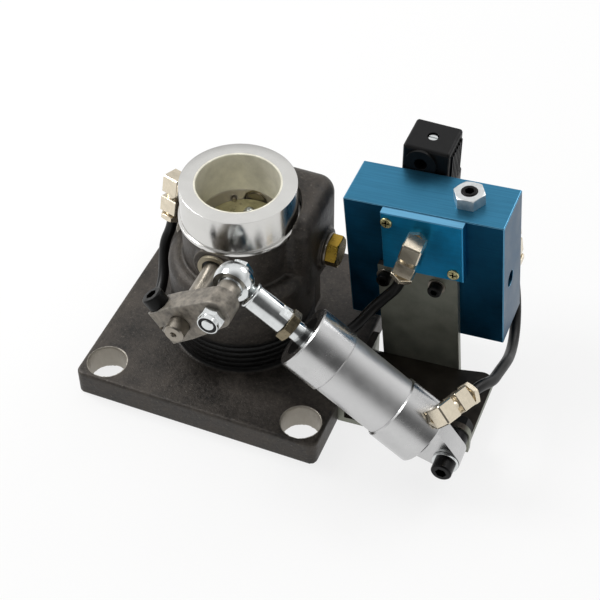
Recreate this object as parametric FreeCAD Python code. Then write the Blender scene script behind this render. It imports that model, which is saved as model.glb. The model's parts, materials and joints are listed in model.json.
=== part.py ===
"""Butterfly intake valve of a rotary air compressor, with its air cylinder and blue control block.

Millimetres. +X runs to the right along the front edge of the base, +Y away from the front, +Z up.
The origin is the centre of the base's bottom face, on the axis of the throat.
"""
import FreeCAD
import Part
import math
import os
from FreeCAD import Placement, Rotation, Vector

# Fits and clearances, radial unless the name says otherwise
RUN_FIT = 0.05
SEAT_FIT = 0.02
SCREW_PLAY = 0.25
SIDE_PLAY = 0.2
EMBED = 2.0
TRIM = 0.02
HEX_FACE_SHARE = 0.95
SOCKET_DEPTH_SHARE = 0.6
HEAD_CHAMFER_SHARE = 0.06

# Base flange of the casting
BASE_THICK = 18.0
BASE_CORNER_R = 5.0
BASE_EDGE_R = 1.5
BASE_HOLE_D = 24.0
BASE_HOLE_PITCH = 130.0
BASE_HOLE_EDGE = 15.0

# Turned barrel, foot rings and neck
BARREL_D = 89.5
BARREL_TOP = 81.0
SHOULDER_R = 7.0
FOOT_GROOVES = 5
FOOT_GROOVE_START = 3.52
FOOT_GROOVE_PITCH = 4.4
FOOT_GROOVE_DEPTH = 1.4
FOOT_GROOVE_HALF = 0.9
NECK_D = 70.0
NECK_TOP = 109.4
THROAT_D = 50.0

# Side chamber on its narrower stem, with the round boss for the hex plug
CHAMBER_RIGHT = 46.0
CHAMBER_FRONT = -10.0
CHAMBER_BACK = 46.5
CHAMBER_LOW = 52.0
CHAMBER_TOP = 120.0
CHAMBER_EDGE_R = 11.0
STEM_RIGHT = 38.0
STEM_BACK = 40.0
STEM_EDGE_R = 6.0
PLUG_BOSS_D = 26.0
PLUG_FACE_X = 48.2
PLUG_Y = 22.0
PLUG_Z = 78.0
PLUG_AF = 18.0
PLUG_HEAD = 7.0
PLUG_THREAD_D = 14.0
PLUG_THREAD_LONG = 10.0
PLUG_WASHER_D = 21.0
PLUG_WASHER_THICK = 1.5

# Shaft line across the neck
SHAFT_D = 12.0
SHAFT_Z = 98.2
SHAFT_TIP_Y = -93.4
SHAFT_TIP_CHAMFER = 0.8
CENTRE_DRILL_D = 4.0
CENTRE_DRILL_DEEP = 4.0
CENTRE_DRILL_TIP_D = 0.4
BOSS_D = 28.0
BOSS_FRONT_PROUD = 2.0
BOSS_BACK_PROUD = 12.5
BUSH_D = 16.0
BUSH_INNER_Y = 26.0
BUSH_FLANGE_D = 20.6
BUSH_FLANGE_THICK = 2.0
BUSH_RECESS_D = 14.8
BUSH_RECESS_DEEP = 3.0
SHAFT_SEAL_THICK = 1.8
REAR_BUSH_SINK = 6.4
THRUST_WASHER_D = 18.0
THRUST_WASHER_THICK = 0.8
CIRCLIP_D = 17.0
CIRCLIP_THICK = 1.0
CIRCLIP_GAP = 3.6
CIRCLIP_GROOVE_DEEP = 0.6
SHAFT_END_PAST_CIRCLIP = 1.2
END_CAP_D = 20.0
END_CAP_THICK = 1.5
END_CAP_RIM = 3.0
END_CAP_DISH = 0.5
END_CAP_SINK = 0.6

# Butterfly disc
DISC_D = 49.6
DISC_THICK = 2.5
DISC_TILT = 5.0
DISC_SCREW_Y = 14.0
DISC_SCREW_D = 4.0
DISC_SCREW_HEAD_D = 7.6
DISC_SCREW_HEAD_TALL = 2.4
DISC_SCREW_DEEP = 3.4
DISC_SCREW_SOCKET_AF = 2.5
DISC_SLOT_PLAY = 0.3
STOP_PIN_D = 3.0
STOP_PIN_ANGLE = 122.6
STOP_PIN_PROUD = 2.4
STOP_PIN_DEEP = 5.0

# Inlet collar on the neck
COLLAR_D = 70.0
COLLAR_TOP = 134.5
COLLAR_LIP_PROUD = 1.5
COLLAR_LIP_TALL = 2.5
COLLAR_CHAMFER = 1.0
COLLAR_SPIGOT_D = 56.0
COLLAR_SPIGOT_DEEP = 2.6
COLLAR_CLEAR = 0.6
SEAL_SECTION_D = 1.8
SEAL_GROOVE_SPARE = 0.1

# Lever on the shaft, turned up from +X about the shaft
LEVER_ANGLE = 36.0
CRANK_R = 26.5
LEVER_THICK = 14.0
SHAFT_STUB = 8.8
HUB_HALF = 12.5
LEVER_END_R = 10.0
LEVER_TAIL = 16.0
LEVER_EDGE_R = 0.8
SLIT_WIDE = 2.0
CLAMP_ALONG = -11.0
CLAMP_SEAT = 12.0
CLAMP_D = 8.0
CLAMP_HEAD_D = 13.0
CLAMP_HEAD_TALL = 8.0
CLAMP_SOCKET_AF = 6.0
CLAMP_LONG = 21.0
CLAMP_SPOT_D = 14.5

# Pivot bolt through the lever and the rod end's ball
PIVOT_D = 8.0
BALL_D = 16.0
BALL_WIDE = 12.0
BALL_Y = -56.0
PIVOT_HEAD_AF = 13.0
PIVOT_HEAD_TALL = 5.3
NYLOC_AF = 13.0
NYLOC_TALL = 8.0
NYLOC_COLLAR_D = 12.4
NYLOC_COLLAR_TALL = 2.6
NYLOC_MOUTH_D = 10.0
NYLOC_MOUTH_DEEP = 1.2
PIVOT_TIP_PAST_NUT = 0.4
PIVOT_TIP_CHAMFER = 0.8
SPACER_D = 14.0

# Rod end on the piston rod
ROD_END_D = 24.0
ROD_END_WIDE = 9.0
ROD_END_EDGE_R = 1.4
BALL_PLAY = 0.06
ROD_END_NECK_D = 11.6
SHANK_D = 16.0
SHANK_START = 11.4
SHANK_END = 37.4
SHANK_FLATS_AF = 14.0
SHANK_FLATS_LONG = 7.0
SHANK_COLLAR_D = 17.2
SHANK_COLLAR_WIDE = 2.0
OIL_HOLE_D = 1.8
ROD_THREAD_D = 10.0
ROD_THREAD_START = 18.0
JAM_NUT_AF = 17.0
JAM_NUT_TALL = 6.0

# Air cylinder, lengths measured from the ball along its axis
PIN_X = 155.1
PIN_Z = 20.4
ROD_D = 12.0
CAP_D = 40.4
CAP_CHAMFER = 0.9
FRONT_CAP_START = 50.6
FRONT_CAP_END = 75.2
REAR_CAP_START = 117.0
REAR_CAP_END = 143.8
TUBE_D = 38.0
TUBE_WALL = 3.0
TUBE_IN_CAP = 9.0
GLAND_D = 20.0
GLAND_LONG = 11.0
WIPER_D = 26.0
WIPER_THICK = 1.6
PISTON_LONG = 12.0
PISTON_BACK_GAP = 2.0
PISTON_PLAY = 0.1
PISTON_RING_WIDE = 4.0
PISTON_RING_DEEP = 2.2
PISTON_SCREW_D = 8.0
LUG_THICK = 13.0
LUG_ROOT_HALF = 14.5
LUG_ROOT_AT = 146.0
LUG_END_R = 8.4
LUG_EYE_D = 12.9
PORT_D = 8.0
PORT_DEEP = 7.0
FRONT_PORT_AT = 62.0
FRONT_PORT_LEAN = 20.0
REAR_PORT_AT = 137.6
REAR_PORT_LEAN = 6.0

# Tail screw, washers and nut
TAIL_D = 8.0
TAIL_HEAD_D = 12.6
TAIL_HEAD_TALL = 7.5
TAIL_SOCKET_AF = 6.0
TAIL_WASHER_D = 16.0
TAIL_WASHER_THICK = 1.8
TAIL_SPACER_D = 14.4
TAB_BACK_Y = -38.0
TAIL_NUT_AF = 13.0
TAIL_NUT_TALL = 6.5
TAIL_TIP_PAST_NUT = 1.5

# Control block, leaned about Y so that its right side is up
LEAN = 5.0
BLOCK_LEFT = 57.3
BLOCK_TOP = 124.0
BLOCK_FRONT = 21.0
BLOCK_WIDE = 98.0
BLOCK_DEEP = 36.0
BLOCK_TALL = 93.0
BLOCK_EDGE = 0.5
SIDE_PORT_D = 10.5
SIDE_PORT_DEEP = 12.0
SIDE_PORT_Y = 14.0
SIDE_PORT_DOWN = 51.0

# Front plate and its two recessed screws
PLATE_LEFT = 25.0
PLATE_WIDE = 50.0
PLATE_TALL = 42.8
PLATE_DOWN = 0.7
PLATE_THICK = 5.5
PLATE_SCREWS = ((28.6, -7.6), (68.9, -38.2))
PLATE_SCREW_D = 4.0
PLATE_SCREW_HEAD_D = 7.4
PLATE_SCREW_HEAD_TALL = 2.2
PLATE_SCREW_DEEP = 9.0
PLATE_SCREW_EDGE_R = 0.73
CROSS_WIDE = 4.44
CROSS_SLOT = 0.89
CROSS_DEEP = 1.32

# Bracket of bent plate that carries the block and the cylinder's tail
SHEET = 4.0
LEG_LEFT = 20.8
LEG_WIDE = 50.0
LEG_TOP_DOWN = 44.0
FOOT_DOWN = 125.0
FOOT_NEAR_Y = -42.0
FOOT_FAR_Y = 20.5
FOOT_RIGHT = 94.2
FOOT_CORNER_R = 8.0
TAB_HALF = 8.0
RISER_TOP = 17.4
BASE_GAP = 0.05
BRACKET_SCREW_D = 6.0
BRACKET_SCREW_HEAD_D = 10.0
BRACKET_SCREW_HEAD_TALL = 6.0
BRACKET_SCREW_DEEP = 14.0
BRACKET_SCREW_Z = 11.0
BRACKET_SCREW_YS = (-30.0, 5.0)
BRACKET_SOCKET_AF = 5.0
BLOCK_SCREWS = ((25.6, -52.2), (57.9, -52.2))
BLOCK_SCREW_D = 5.0
BLOCK_SCREW_HEAD_D = 8.5
BLOCK_SCREW_HEAD_TALL = 5.0
BLOCK_SCREW_WASHER_D = 11.0
BLOCK_SCREW_WASHER_THICK = 1.0
BLOCK_SCREW_DEEP = 14.0
BLOCK_SCREW_SOCKET_AF = 4.0

# Adjusting screw with its lock nut on the top face
ADJUST_X = 71.8
ADJUST_Y = 18.0
ADJUST_D = 10.0
ADJUST_DEEP = 24.0
ADJUST_PROUD = 0.4
ADJUST_SOCKET_AF = 5.0
ADJUST_CHAMFER = 0.8
LOCK_NUT_AF = 17.0
LOCK_NUT_TALL = 7.5

# Pilot solenoid behind the block and its plug connector
COIL_LEFT = 80.0
COIL_WIDE = 30.0
COIL_LOW = 80.0
COIL_TALL = 32.0
COIL_FRONT = 59.0
COIL_DEEP = 28.0
COIL_EDGE_R = 3.0
STEM_D = 9.0
STEM_PLATE_AF = 22.0
COIL_NUT_AF = 14.0
COIL_NUT_TALL = 5.0
PLUG_BODY_LEFT = 80.3
PLUG_BODY_WIDE = 29.0
PLUG_BODY_FRONT = 59.0
PLUG_BODY_DEEP = 27.0
PLUG_BODY_TOP = 142.0
PLUG_BODY_EDGE_R = 2.0
PLUG_GASKET = 1.2
CABLE_GLAND_D = 19.0
CABLE_GLAND_PROUD = 1.6
CABLE_GLAND_DOWN = 10.5
CABLE_GLAND_IN = 12.18
CABLE_MOUTH_D = 8.0
CABLE_MOUTH_DEEP = 14.0
PLUG_SCREW_WELL_D = 7.0
PLUG_SCREW_WELL_DEEP = 3.0
PLUG_SCREW_HEAD_D = 5.6
PLUG_SCREW_HEAD_TALL = 2.0
PLUG_SCREW_SLOT = 1.0
PLUG_SCREW_D = 3.0
PLUG_SIDE_RIB = 1.2
PLUG_SIDE_RIBS = 6

# Elbow fittings of square bar, measured from the crossing of their two axes
ELBOW_AF = 12.0
ELBOW_GROOVE_END = 9.0
ELBOW_GROOVE_D = 9.6
ELBOW_BODY_END = 19.2
ELBOW_NECK_END = 20.6
ELBOW_NECK_D = 9.8
ELBOW_NUT_AF = 13.5
ELBOW_NUT_LONG = 5.0
ELBOW_STUD_HEX_TALL = 2.5
ELBOW_TAPER_LONG = 1.4
ELBOW_TAPER_D = 10.4
ELBOW_CHAMFER = 0.8
STUD_IN_PORT = 4.5
FLOW_BORE_D = 4.0
CYLINDER_HOSE_GAP = 0.6

# Hoses, with the points of their routes
HOSE_D = 6.8
HOSE_ARC_SHARE = 0.45
PLATE_ELBOW_AT = (47.4, -16.3)
PLATE_ELBOW_TILT = 12.3
NECK_PORT_PROUD = 6.8
NECK_PORT_D = 18.0
NECK_ELBOW_Z = 106.5
NECK_ELBOW_ANGLE = 164.4
NECK_ELBOW_TILT = 13.0
BACK_ELBOW_AT = (88.0, -42.0)
BACK_ELBOW_TILT = -10.0
FOOT_PORT_ANGLE = 243.0
FOOT_PORT_OUT = 6.25
FOOT_PORT_Z = 46.0
FOOT_PORT_D = 13.0
FOOT_PORT_LONG = 12.0
NIPPLE_STEM_D = 8.0
NIPPLE_STEM_LONG = 2.5
SIGNAL_HOSE_LEADS = (8.9, 6.4)
FEED_HOSE_LEADS = (7.7, 8.4)
BREATHER_HOSE_LEADS = (6.0, 10.3)
SIGNAL_HOSE_MID = ((92.1, 4.1, 69.7), (85.7, -1.8, 62.8), (81.0, -10.2, 57.1))
FEED_HOSE_MID = ((167.1, -16.9, 47.6), (167.6, -4.5, 42.5), (168.7, 8.2, 38.3), (168.1, 19.7, 31.7),
                 (166.8, 32.3, 27.3), (164.5, 45.4, 27.5), (161.2, 57.2, 32.6), (157.7, 63.9, 43.5))
BREATHER_HOSE_MID = ((-53.2, 0.9, 66.6), (-51.2, -5.4, 57.4), (-48.0, -14.0, 50.7), (-46.1, -24.1, 46.8))

# Worked out from the sizes above
SHAFT_AT = Vector(0, 0, SHAFT_Z)
LEVER_FRONT_Y = SHAFT_TIP_Y + SHAFT_STUB
LEVER_BACK_Y = LEVER_FRONT_Y + LEVER_THICK
BALL_X = CRANK_R * math.cos(math.radians(LEVER_ANGLE))
BALL_Z = SHAFT_Z + CRANK_R * math.sin(math.radians(LEVER_ANGLE))
AXIS_LONG = math.hypot(PIN_X - BALL_X, BALL_Z - PIN_Z)
AXIS_DROP = math.degrees(math.atan2(BALL_Z - PIN_Z, PIN_X - BALL_X))
BASE_HALF = BASE_HOLE_PITCH / 2 + BASE_HOLE_EDGE
BOSS_FRONT_Y = -(NECK_D / 2 + BOSS_FRONT_PROUD)
BOSS_BACK_Y = NECK_D / 2 + BOSS_BACK_PROUD
REAR_BUSH_END_Y = BOSS_BACK_Y - REAR_BUSH_SINK
COLLAR_LIP_D = COLLAR_D + 2 * COLLAR_LIP_PROUD
SEAL_MID_D = (COLLAR_D + COLLAR_SPIGOT_D) / 2
NECK_PORT_R = NECK_D / 2 + NECK_PORT_PROUD
FOOT_PORT_R = BARREL_D / 2 + FOOT_PORT_OUT
TUBE_BORE_D = TUBE_D - 2 * TUBE_WALL


# Helpers: shapes about local Z, then frames that carry them
def disc(diameter, length, start=0.0):
    return Part.makeCylinder(diameter / 2, length, Vector(0, 0, start))


def ring(outer, inner, length, start=0.0):
    return disc(outer, length, start).cut(disc(inner, length, start))


def cone(low_d, high_d, length, start=0.0):
    return Part.makeCone(low_d / 2, high_d / 2, length, Vector(0, 0, start))


def bar(x, y, z):
    """A box from three pairs of limits."""
    return Part.makeBox(x[1] - x[0], y[1] - y[0], z[1] - z[0], Vector(x[0], y[0], z[0]))


def square_bar(across, length, start=0.0):
    return bar((-across / 2, across / 2), (-across / 2, across / 2), (start, start + length))


def hexagon(across_flats, length, start=0.0):
    radius = across_flats / 2 / math.cos(math.pi / 6)
    angles = [math.radians(60 * k) for k in range(7)]
    corners = [Vector(radius * math.cos(a), radius * math.sin(a), start) for a in angles]
    return Part.Face(Part.makePolygon(corners)).extrude(Vector(0, 0, length))


def hex_nut(across_flats, length, hole, start=0.0, low_chamfer=True):
    """A hexagon with its corners turned off at the top, and at the bottom too where both ends show."""
    corner_d = across_flats / math.cos(math.pi / 6)
    drop = (corner_d - across_flats) / 4
    face_d = across_flats * HEX_FACE_SHARE
    wide_d = corner_d + TRIM
    middle_start = start + drop if low_chamfer else start
    middle = disc(wide_d, start + length - drop - middle_start, middle_start)
    envelope = middle.fuse(cone(wide_d, face_d, drop, start + length - drop))
    if low_chamfer:
        envelope = envelope.fuse(cone(face_d, wide_d, drop, start))
    nut = hexagon(across_flats, length, start).common(envelope)
    return nut.cut(disc(hole, length, start)) if hole else nut


def turned(points):
    """A solid of revolution about Z from (radius, height) corners; a third value marks an arc's mid-point."""
    edges = []
    corners = [Vector(p[0], 0, p[1]) for p in points]
    for k, start in enumerate(corners):
        end = corners[(k + 1) % len(corners)]
        if len(points[k]) == 4:
            edges.append(Part.Arc(start, Vector(points[k][2], 0, points[k][3]), end).toShape())
        else:
            edges.append(Part.LineSegment(start, end).toShape())
    return Part.Face(Part.Wire(edges)).revolve(Vector(0, 0, 0), Vector(0, 0, 1), 360)


def frame(origin, z_axis, x_axis):
    """The placement whose local Z and X point the given ways."""
    z_axis = Vector(z_axis).normalize()
    y_axis = z_axis.cross(Vector(x_axis)).normalize()
    return Placement(Vector(origin), Rotation(y_axis.cross(z_axis), y_axis, z_axis, "ZXY"))


def put(shape, placement):
    moved = shape.copy()
    moved.Placement = placement.multiply(shape.Placement)
    return moved


def edges_above(shape, height):
    """The edges that lie wholly at a height or above it."""
    return [edge for edge in shape.Edges if edge.BoundBox.ZMin > height - TRIM]


def level_edges(shape):
    """The edges that lie in one level plane."""
    return [edge for edge in shape.Edges if edge.BoundBox.ZLength < TRIM]


def cap_screw(thread_d, length, head_d, head_tall, socket_af):
    """Head above the seat at z = 0, thread below it, with a hexagon socket."""
    head = disc(head_d, head_tall)
    head = head.makeChamfer(HEAD_CHAMFER_SHARE * head_d, edges_above(head, head_tall))
    body = head.fuse(disc(thread_d, length, -length))
    socket_deep = head_tall * SOCKET_DEPTH_SHARE
    return body.cut(hexagon(socket_af, socket_deep, head_tall - socket_deep))


def along_y(y, x=0.0, z=SHAFT_Z):
    """Local Z towards the front, local X to the right."""
    return frame((x, y, z), (0, -1, 0), (1, 0, 0))


def turn_up(degrees):
    """Local X turned up from +X by an angle, local Z towards the front, about the shaft."""
    angle = math.radians(degrees)
    return frame(SHAFT_AT, (0, -1, 0), (math.cos(angle), 0, math.sin(angle)))


LEVER = turn_up(LEVER_ANGLE)
DISC_FRAME = turn_up(DISC_TILT)
AXIS_ANGLE = math.radians(AXIS_DROP)
ALONG = Vector(math.cos(AXIS_ANGLE), 0, -math.sin(AXIS_ANGLE))
UPWARD = Vector(math.sin(AXIS_ANGLE), 0, math.cos(AXIS_ANGLE))
BALL_AT = Vector(BALL_X, BALL_Y, BALL_Z)
CYLINDER = frame(BALL_AT, ALONG, UPWARD)
LEAN_ANGLE = math.radians(LEAN)
BLOCK_RIGHT = Vector(math.cos(LEAN_ANGLE), 0, math.sin(LEAN_ANGLE))
BLOCK_UP = Vector(-math.sin(LEAN_ANGLE), 0, math.cos(LEAN_ANGLE))
BLOCK = frame((BLOCK_LEFT, BLOCK_FRONT, BLOCK_TOP), BLOCK_UP, BLOCK_RIGHT)
ADJUST_AT = Placement(Vector(ADJUST_X, ADJUST_Y, 0), Rotation())


def at_front(x, z, y=0.0):
    """A frame on the block's front face with local Z towards the front."""
    return frame(BLOCK.multVec(Vector(x, y, z)), (0, -1, 0), BLOCK_RIGHT)


# The casting
def turned_core():
    """Barrel with the foot rings, rounded shoulder and neck, as one turned profile."""
    radius = BARREL_D / 2
    profile = [(0, BASE_THICK - EMBED), (radius, BASE_THICK - EMBED)]
    for k in range(FOOT_GROOVES):
        z = BASE_THICK + FOOT_GROOVE_START + FOOT_GROOVE_PITCH * k
        profile.append((radius, z - FOOT_GROOVE_HALF))
        profile.append((radius - FOOT_GROOVE_DEPTH, z))
        profile.append((radius, z + FOOT_GROOVE_HALF))
    neck_r = NECK_D / 2
    shoulder_r = min(SHOULDER_R, radius - neck_r - TRIM)
    bulge = shoulder_r * (1 - math.sqrt(0.5))
    profile.append((radius, BARREL_TOP - shoulder_r, radius - bulge, BARREL_TOP - bulge))
    profile += [(radius - shoulder_r, BARREL_TOP), (neck_r, BARREL_TOP), (neck_r, NECK_TOP), (0, NECK_TOP)]
    return turned(profile)


def base_flange():
    plate = bar((-BASE_HALF, BASE_HALF), (-BASE_HALF, BASE_HALF), (0, BASE_THICK))
    upright = [edge for edge in plate.Edges if edge.BoundBox.ZLength > BASE_THICK / 2]
    plate = plate.makeFillet(BASE_CORNER_R, upright)
    return plate.makeFillet(BASE_EDGE_R, edges_above(plate, BASE_THICK))


def collar_room():
    """The space that is kept free around the collar's lip."""
    return disc(COLLAR_LIP_D + 2 * COLLAR_CLEAR, CHAMBER_TOP - NECK_TOP, NECK_TOP)


def side_chamber():
    """The rounded lump beside the neck on its stem, with the plug's boss."""
    lump = bar((0, CHAMBER_RIGHT), (CHAMBER_FRONT, CHAMBER_BACK), (CHAMBER_LOW, CHAMBER_TOP))

    def outer(edge):
        box = edge.BoundBox
        on_top = box.ZMin > CHAMBER_TOP - TRIM
        on_low = box.ZMax < CHAMBER_LOW + TRIM
        on_right = box.XMin > CHAMBER_RIGHT - TRIM
        on_front = box.YMax < CHAMBER_FRONT + TRIM
        on_back = box.YMin > CHAMBER_BACK - TRIM
        return on_top + on_low + on_right + on_front + on_back == 2

    lump = lump.makeFillet(CHAMBER_EDGE_R, [edge for edge in lump.Edges if outer(edge)])
    stem = bar((0, STEM_RIGHT), (0, STEM_BACK), (BASE_THICK - EMBED, CHAMBER_LOW + CHAMBER_EDGE_R))
    corner = [edge for edge in stem.Edges
              if edge.BoundBox.XMin > STEM_RIGHT - TRIM and edge.BoundBox.YMin > STEM_BACK - TRIM]
    stem = stem.makeFillet(STEM_EDGE_R, corner)
    boss = put(disc(PLUG_BOSS_D, PLUG_FACE_X), plug_line())
    return lump.fuse(stem).fuse(boss).cut(collar_room())


def plug_line():
    """On the plug's boss, with local Z into the casting."""
    return frame((PLUG_FACE_X, PLUG_Y, PLUG_Z), (-1, 0, 0), (0, 1, 0))


def neck_port_boss():
    """Round boss on the neck for the breather's elbow, kept clear of the collar's lip."""
    inner = THROAT_D / 2 + EMBED
    boss = put(disc(NECK_PORT_D, NECK_PORT_R - inner, inner - NECK_PORT_R), neck_port())
    return boss.cut(collar_room())


def shaft_boss():
    """Both shaft bosses as one bar along Y, trimmed by the neck's machined top face."""
    boss = put(disc(BOSS_D, BOSS_BACK_Y - BOSS_FRONT_Y), along_y(BOSS_BACK_Y))
    return boss.common(bar((-BASE_HALF, BASE_HALF), (-BASE_HALF, BASE_HALF), (0, NECK_TOP)))


def foot_port_frame():
    """On the barrel's foot, with local Z along the tangent towards the hose."""
    angle = math.radians(FOOT_PORT_ANGLE)
    centre = (FOOT_PORT_R * math.cos(angle), FOOT_PORT_R * math.sin(angle), FOOT_PORT_Z)
    return frame(centre, (math.sin(angle), -math.cos(angle), 0), (0, 0, 1))


def foot_port():
    """Cast lug with its inner side run into the barrel."""
    lug = disc(FOOT_PORT_D, FOOT_PORT_LONG, -FOOT_PORT_LONG / 2)
    half_long = FOOT_PORT_LONG / 2
    root = bar((-FOOT_PORT_D / 2, FOOT_PORT_D / 2), (0, FOOT_PORT_D), (-half_long, half_long))
    outward = put(lug.fuse(root), foot_port_frame())
    return outward.cut(disc(THROAT_D, NECK_TOP))


def valve_body():
    casting = base_flange()
    for lump in (turned_core(), side_chamber(), shaft_boss(), neck_port_boss(), foot_port()):
        casting = casting.fuse(lump)
    cuts = [disc(THROAT_D, NECK_TOP + 1)]
    cuts.append(disc(COLLAR_SPIGOT_D + 2 * SEAT_FIT, COLLAR_SPIGOT_DEEP + 1, NECK_TOP - COLLAR_SPIGOT_DEEP))
    half = BASE_HOLE_PITCH / 2
    for x in (-half, half):
        for y in (-half, half):
            cuts.append(put(disc(BASE_HOLE_D, BASE_THICK), Placement(Vector(x, y, 0), Rotation())))
    cuts.append(put(disc(BUSH_D, BOSS_BACK_Y - BOSS_FRONT_Y), along_y(BOSS_BACK_Y)))
    cuts.append(put(disc(END_CAP_D, BOSS_BACK_Y - REAR_BUSH_END_Y), along_y(BOSS_BACK_Y)))
    cuts.append(put(disc(PLUG_THREAD_D, PLUG_THREAD_LONG + 1), plug_line()))
    cuts.append(put(disc(PORT_D, STUD_IN_PORT, -STUD_IN_PORT), neck_port()))
    nipple_hole = disc(NIPPLE_STEM_D, STUD_IN_PORT, FOOT_PORT_LONG / 2 - STUD_IN_PORT)
    cuts.append(put(nipple_hole, foot_port_frame()))
    for y in BRACKET_SCREW_YS:
        tapped = frame((BASE_HALF, y, BRACKET_SCREW_Z), (-1, 0, 0), (0, 1, 0))
        cuts.append(put(disc(BRACKET_SCREW_D, BRACKET_SCREW_DEEP), tapped))
    cuts.append(stop_pin())
    for cut in cuts:
        casting = casting.cut(cut)
    return casting


def stop_pin():
    """Small pin in the throat's wall, just above the low side of the closed disc."""
    angle = math.radians(STOP_PIN_ANGLE)
    inward = Vector(-math.cos(angle), -math.sin(angle), 0)
    tilt_drop = THROAT_D / 2 * math.cos(angle) * math.tan(math.radians(DISC_TILT))
    disc_half = DISC_THICK / 2 / math.cos(math.radians(DISC_TILT))
    z = SHAFT_Z + tilt_drop + disc_half + STOP_PIN_D / 2 + SIDE_PLAY
    foot = inward * -(THROAT_D / 2 + STOP_PIN_DEEP) + Vector(0, 0, z)
    return put(disc(STOP_PIN_D, STOP_PIN_DEEP + STOP_PIN_PROUD), frame(foot, inward, (0, 0, 1)))


def brass_plug():
    face = PLUG_FACE_X + PLUG_WASHER_THICK
    outward = frame((face, PLUG_Y, PLUG_Z), (1, 0, 0), (0, 1, 0))
    head = hex_nut(PLUG_AF, PLUG_HEAD, 0, low_chamfer=False)
    thread = disc(PLUG_THREAD_D, PLUG_THREAD_LONG + PLUG_WASHER_THICK, -PLUG_THREAD_LONG - PLUG_WASHER_THICK)
    return put(head.fuse(thread), outward)


def plug_washer():
    outward = frame((PLUG_FACE_X, PLUG_Y, PLUG_Z), (1, 0, 0), (0, 1, 0))
    return put(ring(PLUG_WASHER_D, PLUG_THREAD_D, PLUG_WASHER_THICK), outward)


# Inlet collar
def inlet_collar():
    tall = COLLAR_TOP - NECK_TOP
    outer = disc(COLLAR_D, tall, NECK_TOP)
    outer = outer.makeChamfer(COLLAR_CHAMFER, edges_above(outer, COLLAR_TOP))
    lip = disc(COLLAR_LIP_D, COLLAR_LIP_TALL, NECK_TOP)
    spigot = disc(COLLAR_SPIGOT_D, COLLAR_SPIGOT_DEEP, NECK_TOP - COLLAR_SPIGOT_DEEP)
    throat = disc(THROAT_D, tall + COLLAR_SPIGOT_DEEP, NECK_TOP - COLLAR_SPIGOT_DEEP)
    collar = outer.fuse(lip).fuse(spigot).cut(throat)
    groove_wide = SEAL_SECTION_D + 2 * SEAL_GROOVE_SPARE
    groove = ring(SEAL_MID_D + groove_wide, SEAL_MID_D - groove_wide, SEAL_SECTION_D, NECK_TOP)
    return collar.cut(groove)


def collar_seal():
    centre = Vector(0, 0, NECK_TOP + SEAL_SECTION_D / 2)
    return Part.makeTorus(SEAL_MID_D / 2, SEAL_SECTION_D / 2, centre)


# Shaft, bushes and disc
def front_shaft_bush():
    inner = BOSS_FRONT_Y + BUSH_INNER_Y
    sleeve = disc(BUSH_D, -inner, inner)
    flange = disc(BUSH_FLANGE_D, BUSH_FLANGE_THICK)
    bush = sleeve.fuse(flange).cut(disc(SHAFT_D + 2 * RUN_FIT, BUSH_FLANGE_THICK - inner, inner))
    bush = bush.cut(disc(BUSH_RECESS_D, BUSH_RECESS_DEEP, BUSH_FLANGE_THICK - BUSH_RECESS_DEEP))
    return put(bush, along_y(BOSS_FRONT_Y))


def shaft_seal():
    start = BUSH_FLANGE_THICK - BUSH_RECESS_DEEP
    return put(ring(BUSH_RECESS_D, SHAFT_D + 2 * RUN_FIT, SHAFT_SEAL_THICK, start), along_y(BOSS_FRONT_Y))


def rear_shaft_bush():
    long = REAR_BUSH_END_Y - BUSH_INNER_Y
    return put(ring(BUSH_D, SHAFT_D + 2 * RUN_FIT, long), along_y(REAR_BUSH_END_Y))


THRUST_WASHER_Y = REAR_BUSH_END_Y + THRUST_WASHER_THICK
CIRCLIP_Y = THRUST_WASHER_Y + SIDE_PLAY + CIRCLIP_THICK
SHAFT_END_Y = CIRCLIP_Y + SHAFT_END_PAST_CIRCLIP


def thrust_washer():
    return put(ring(THRUST_WASHER_D, SHAFT_D + 2 * SCREW_PLAY, THRUST_WASHER_THICK), along_y(THRUST_WASHER_Y))


def shaft_circlip():
    """Open ring sprung into the shaft's groove."""
    groove_d = SHAFT_D - 2 * CIRCLIP_GROOVE_DEEP
    clip = ring(CIRCLIP_D, groove_d, CIRCLIP_THICK)
    opening = bar((-CIRCLIP_GAP / 2, CIRCLIP_GAP / 2), (-CIRCLIP_D, 0), (0, CIRCLIP_THICK))
    return put(clip.cut(opening), along_y(CIRCLIP_Y))


def shaft_end_cap():
    """Dished plug pressed into the rear boss."""
    cap = disc(END_CAP_D, END_CAP_THICK)
    cap = cap.cut(disc(END_CAP_D - 2 * END_CAP_RIM, END_CAP_DISH))
    return put(cap, along_y(BOSS_BACK_Y - END_CAP_SINK))


def butterfly_shaft():
    length = SHAFT_END_Y - SHAFT_TIP_Y
    shaft = disc(SHAFT_D, length)
    shaft = shaft.makeChamfer(SHAFT_TIP_CHAMFER, level_edges(shaft))
    shaft = shaft.cut(cone(CENTRE_DRILL_TIP_D, CENTRE_DRILL_D, CENTRE_DRILL_DEEP, length - CENTRE_DRILL_DEEP))
    groove_start = SHAFT_END_PAST_CIRCLIP
    shaft = shaft.cut(ring(SHAFT_D + 1, SHAFT_D - 2 * CIRCLIP_GROOVE_DEEP, CIRCLIP_THICK, groove_start))
    shaft = put(shaft, DISC_FRAME.multiply(Placement(Vector(0, 0, -SHAFT_END_Y), Rotation())))
    slot_half = DISC_D / 2 + DISC_SLOT_PLAY
    slot = bar((-SHAFT_D, SHAFT_D), (-DISC_THICK / 2, SHAFT_D), (-slot_half, slot_half))
    shaft = shaft.cut(put(slot, DISC_FRAME))
    screw_hole = disc(DISC_SCREW_D, DISC_SCREW_DEEP, -DISC_THICK / 2 - DISC_SCREW_DEEP)
    for y in (-DISC_SCREW_Y, DISC_SCREW_Y):
        shaft = shaft.cut(put(screw_hole, disc_top(y)))
    return shaft


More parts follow.
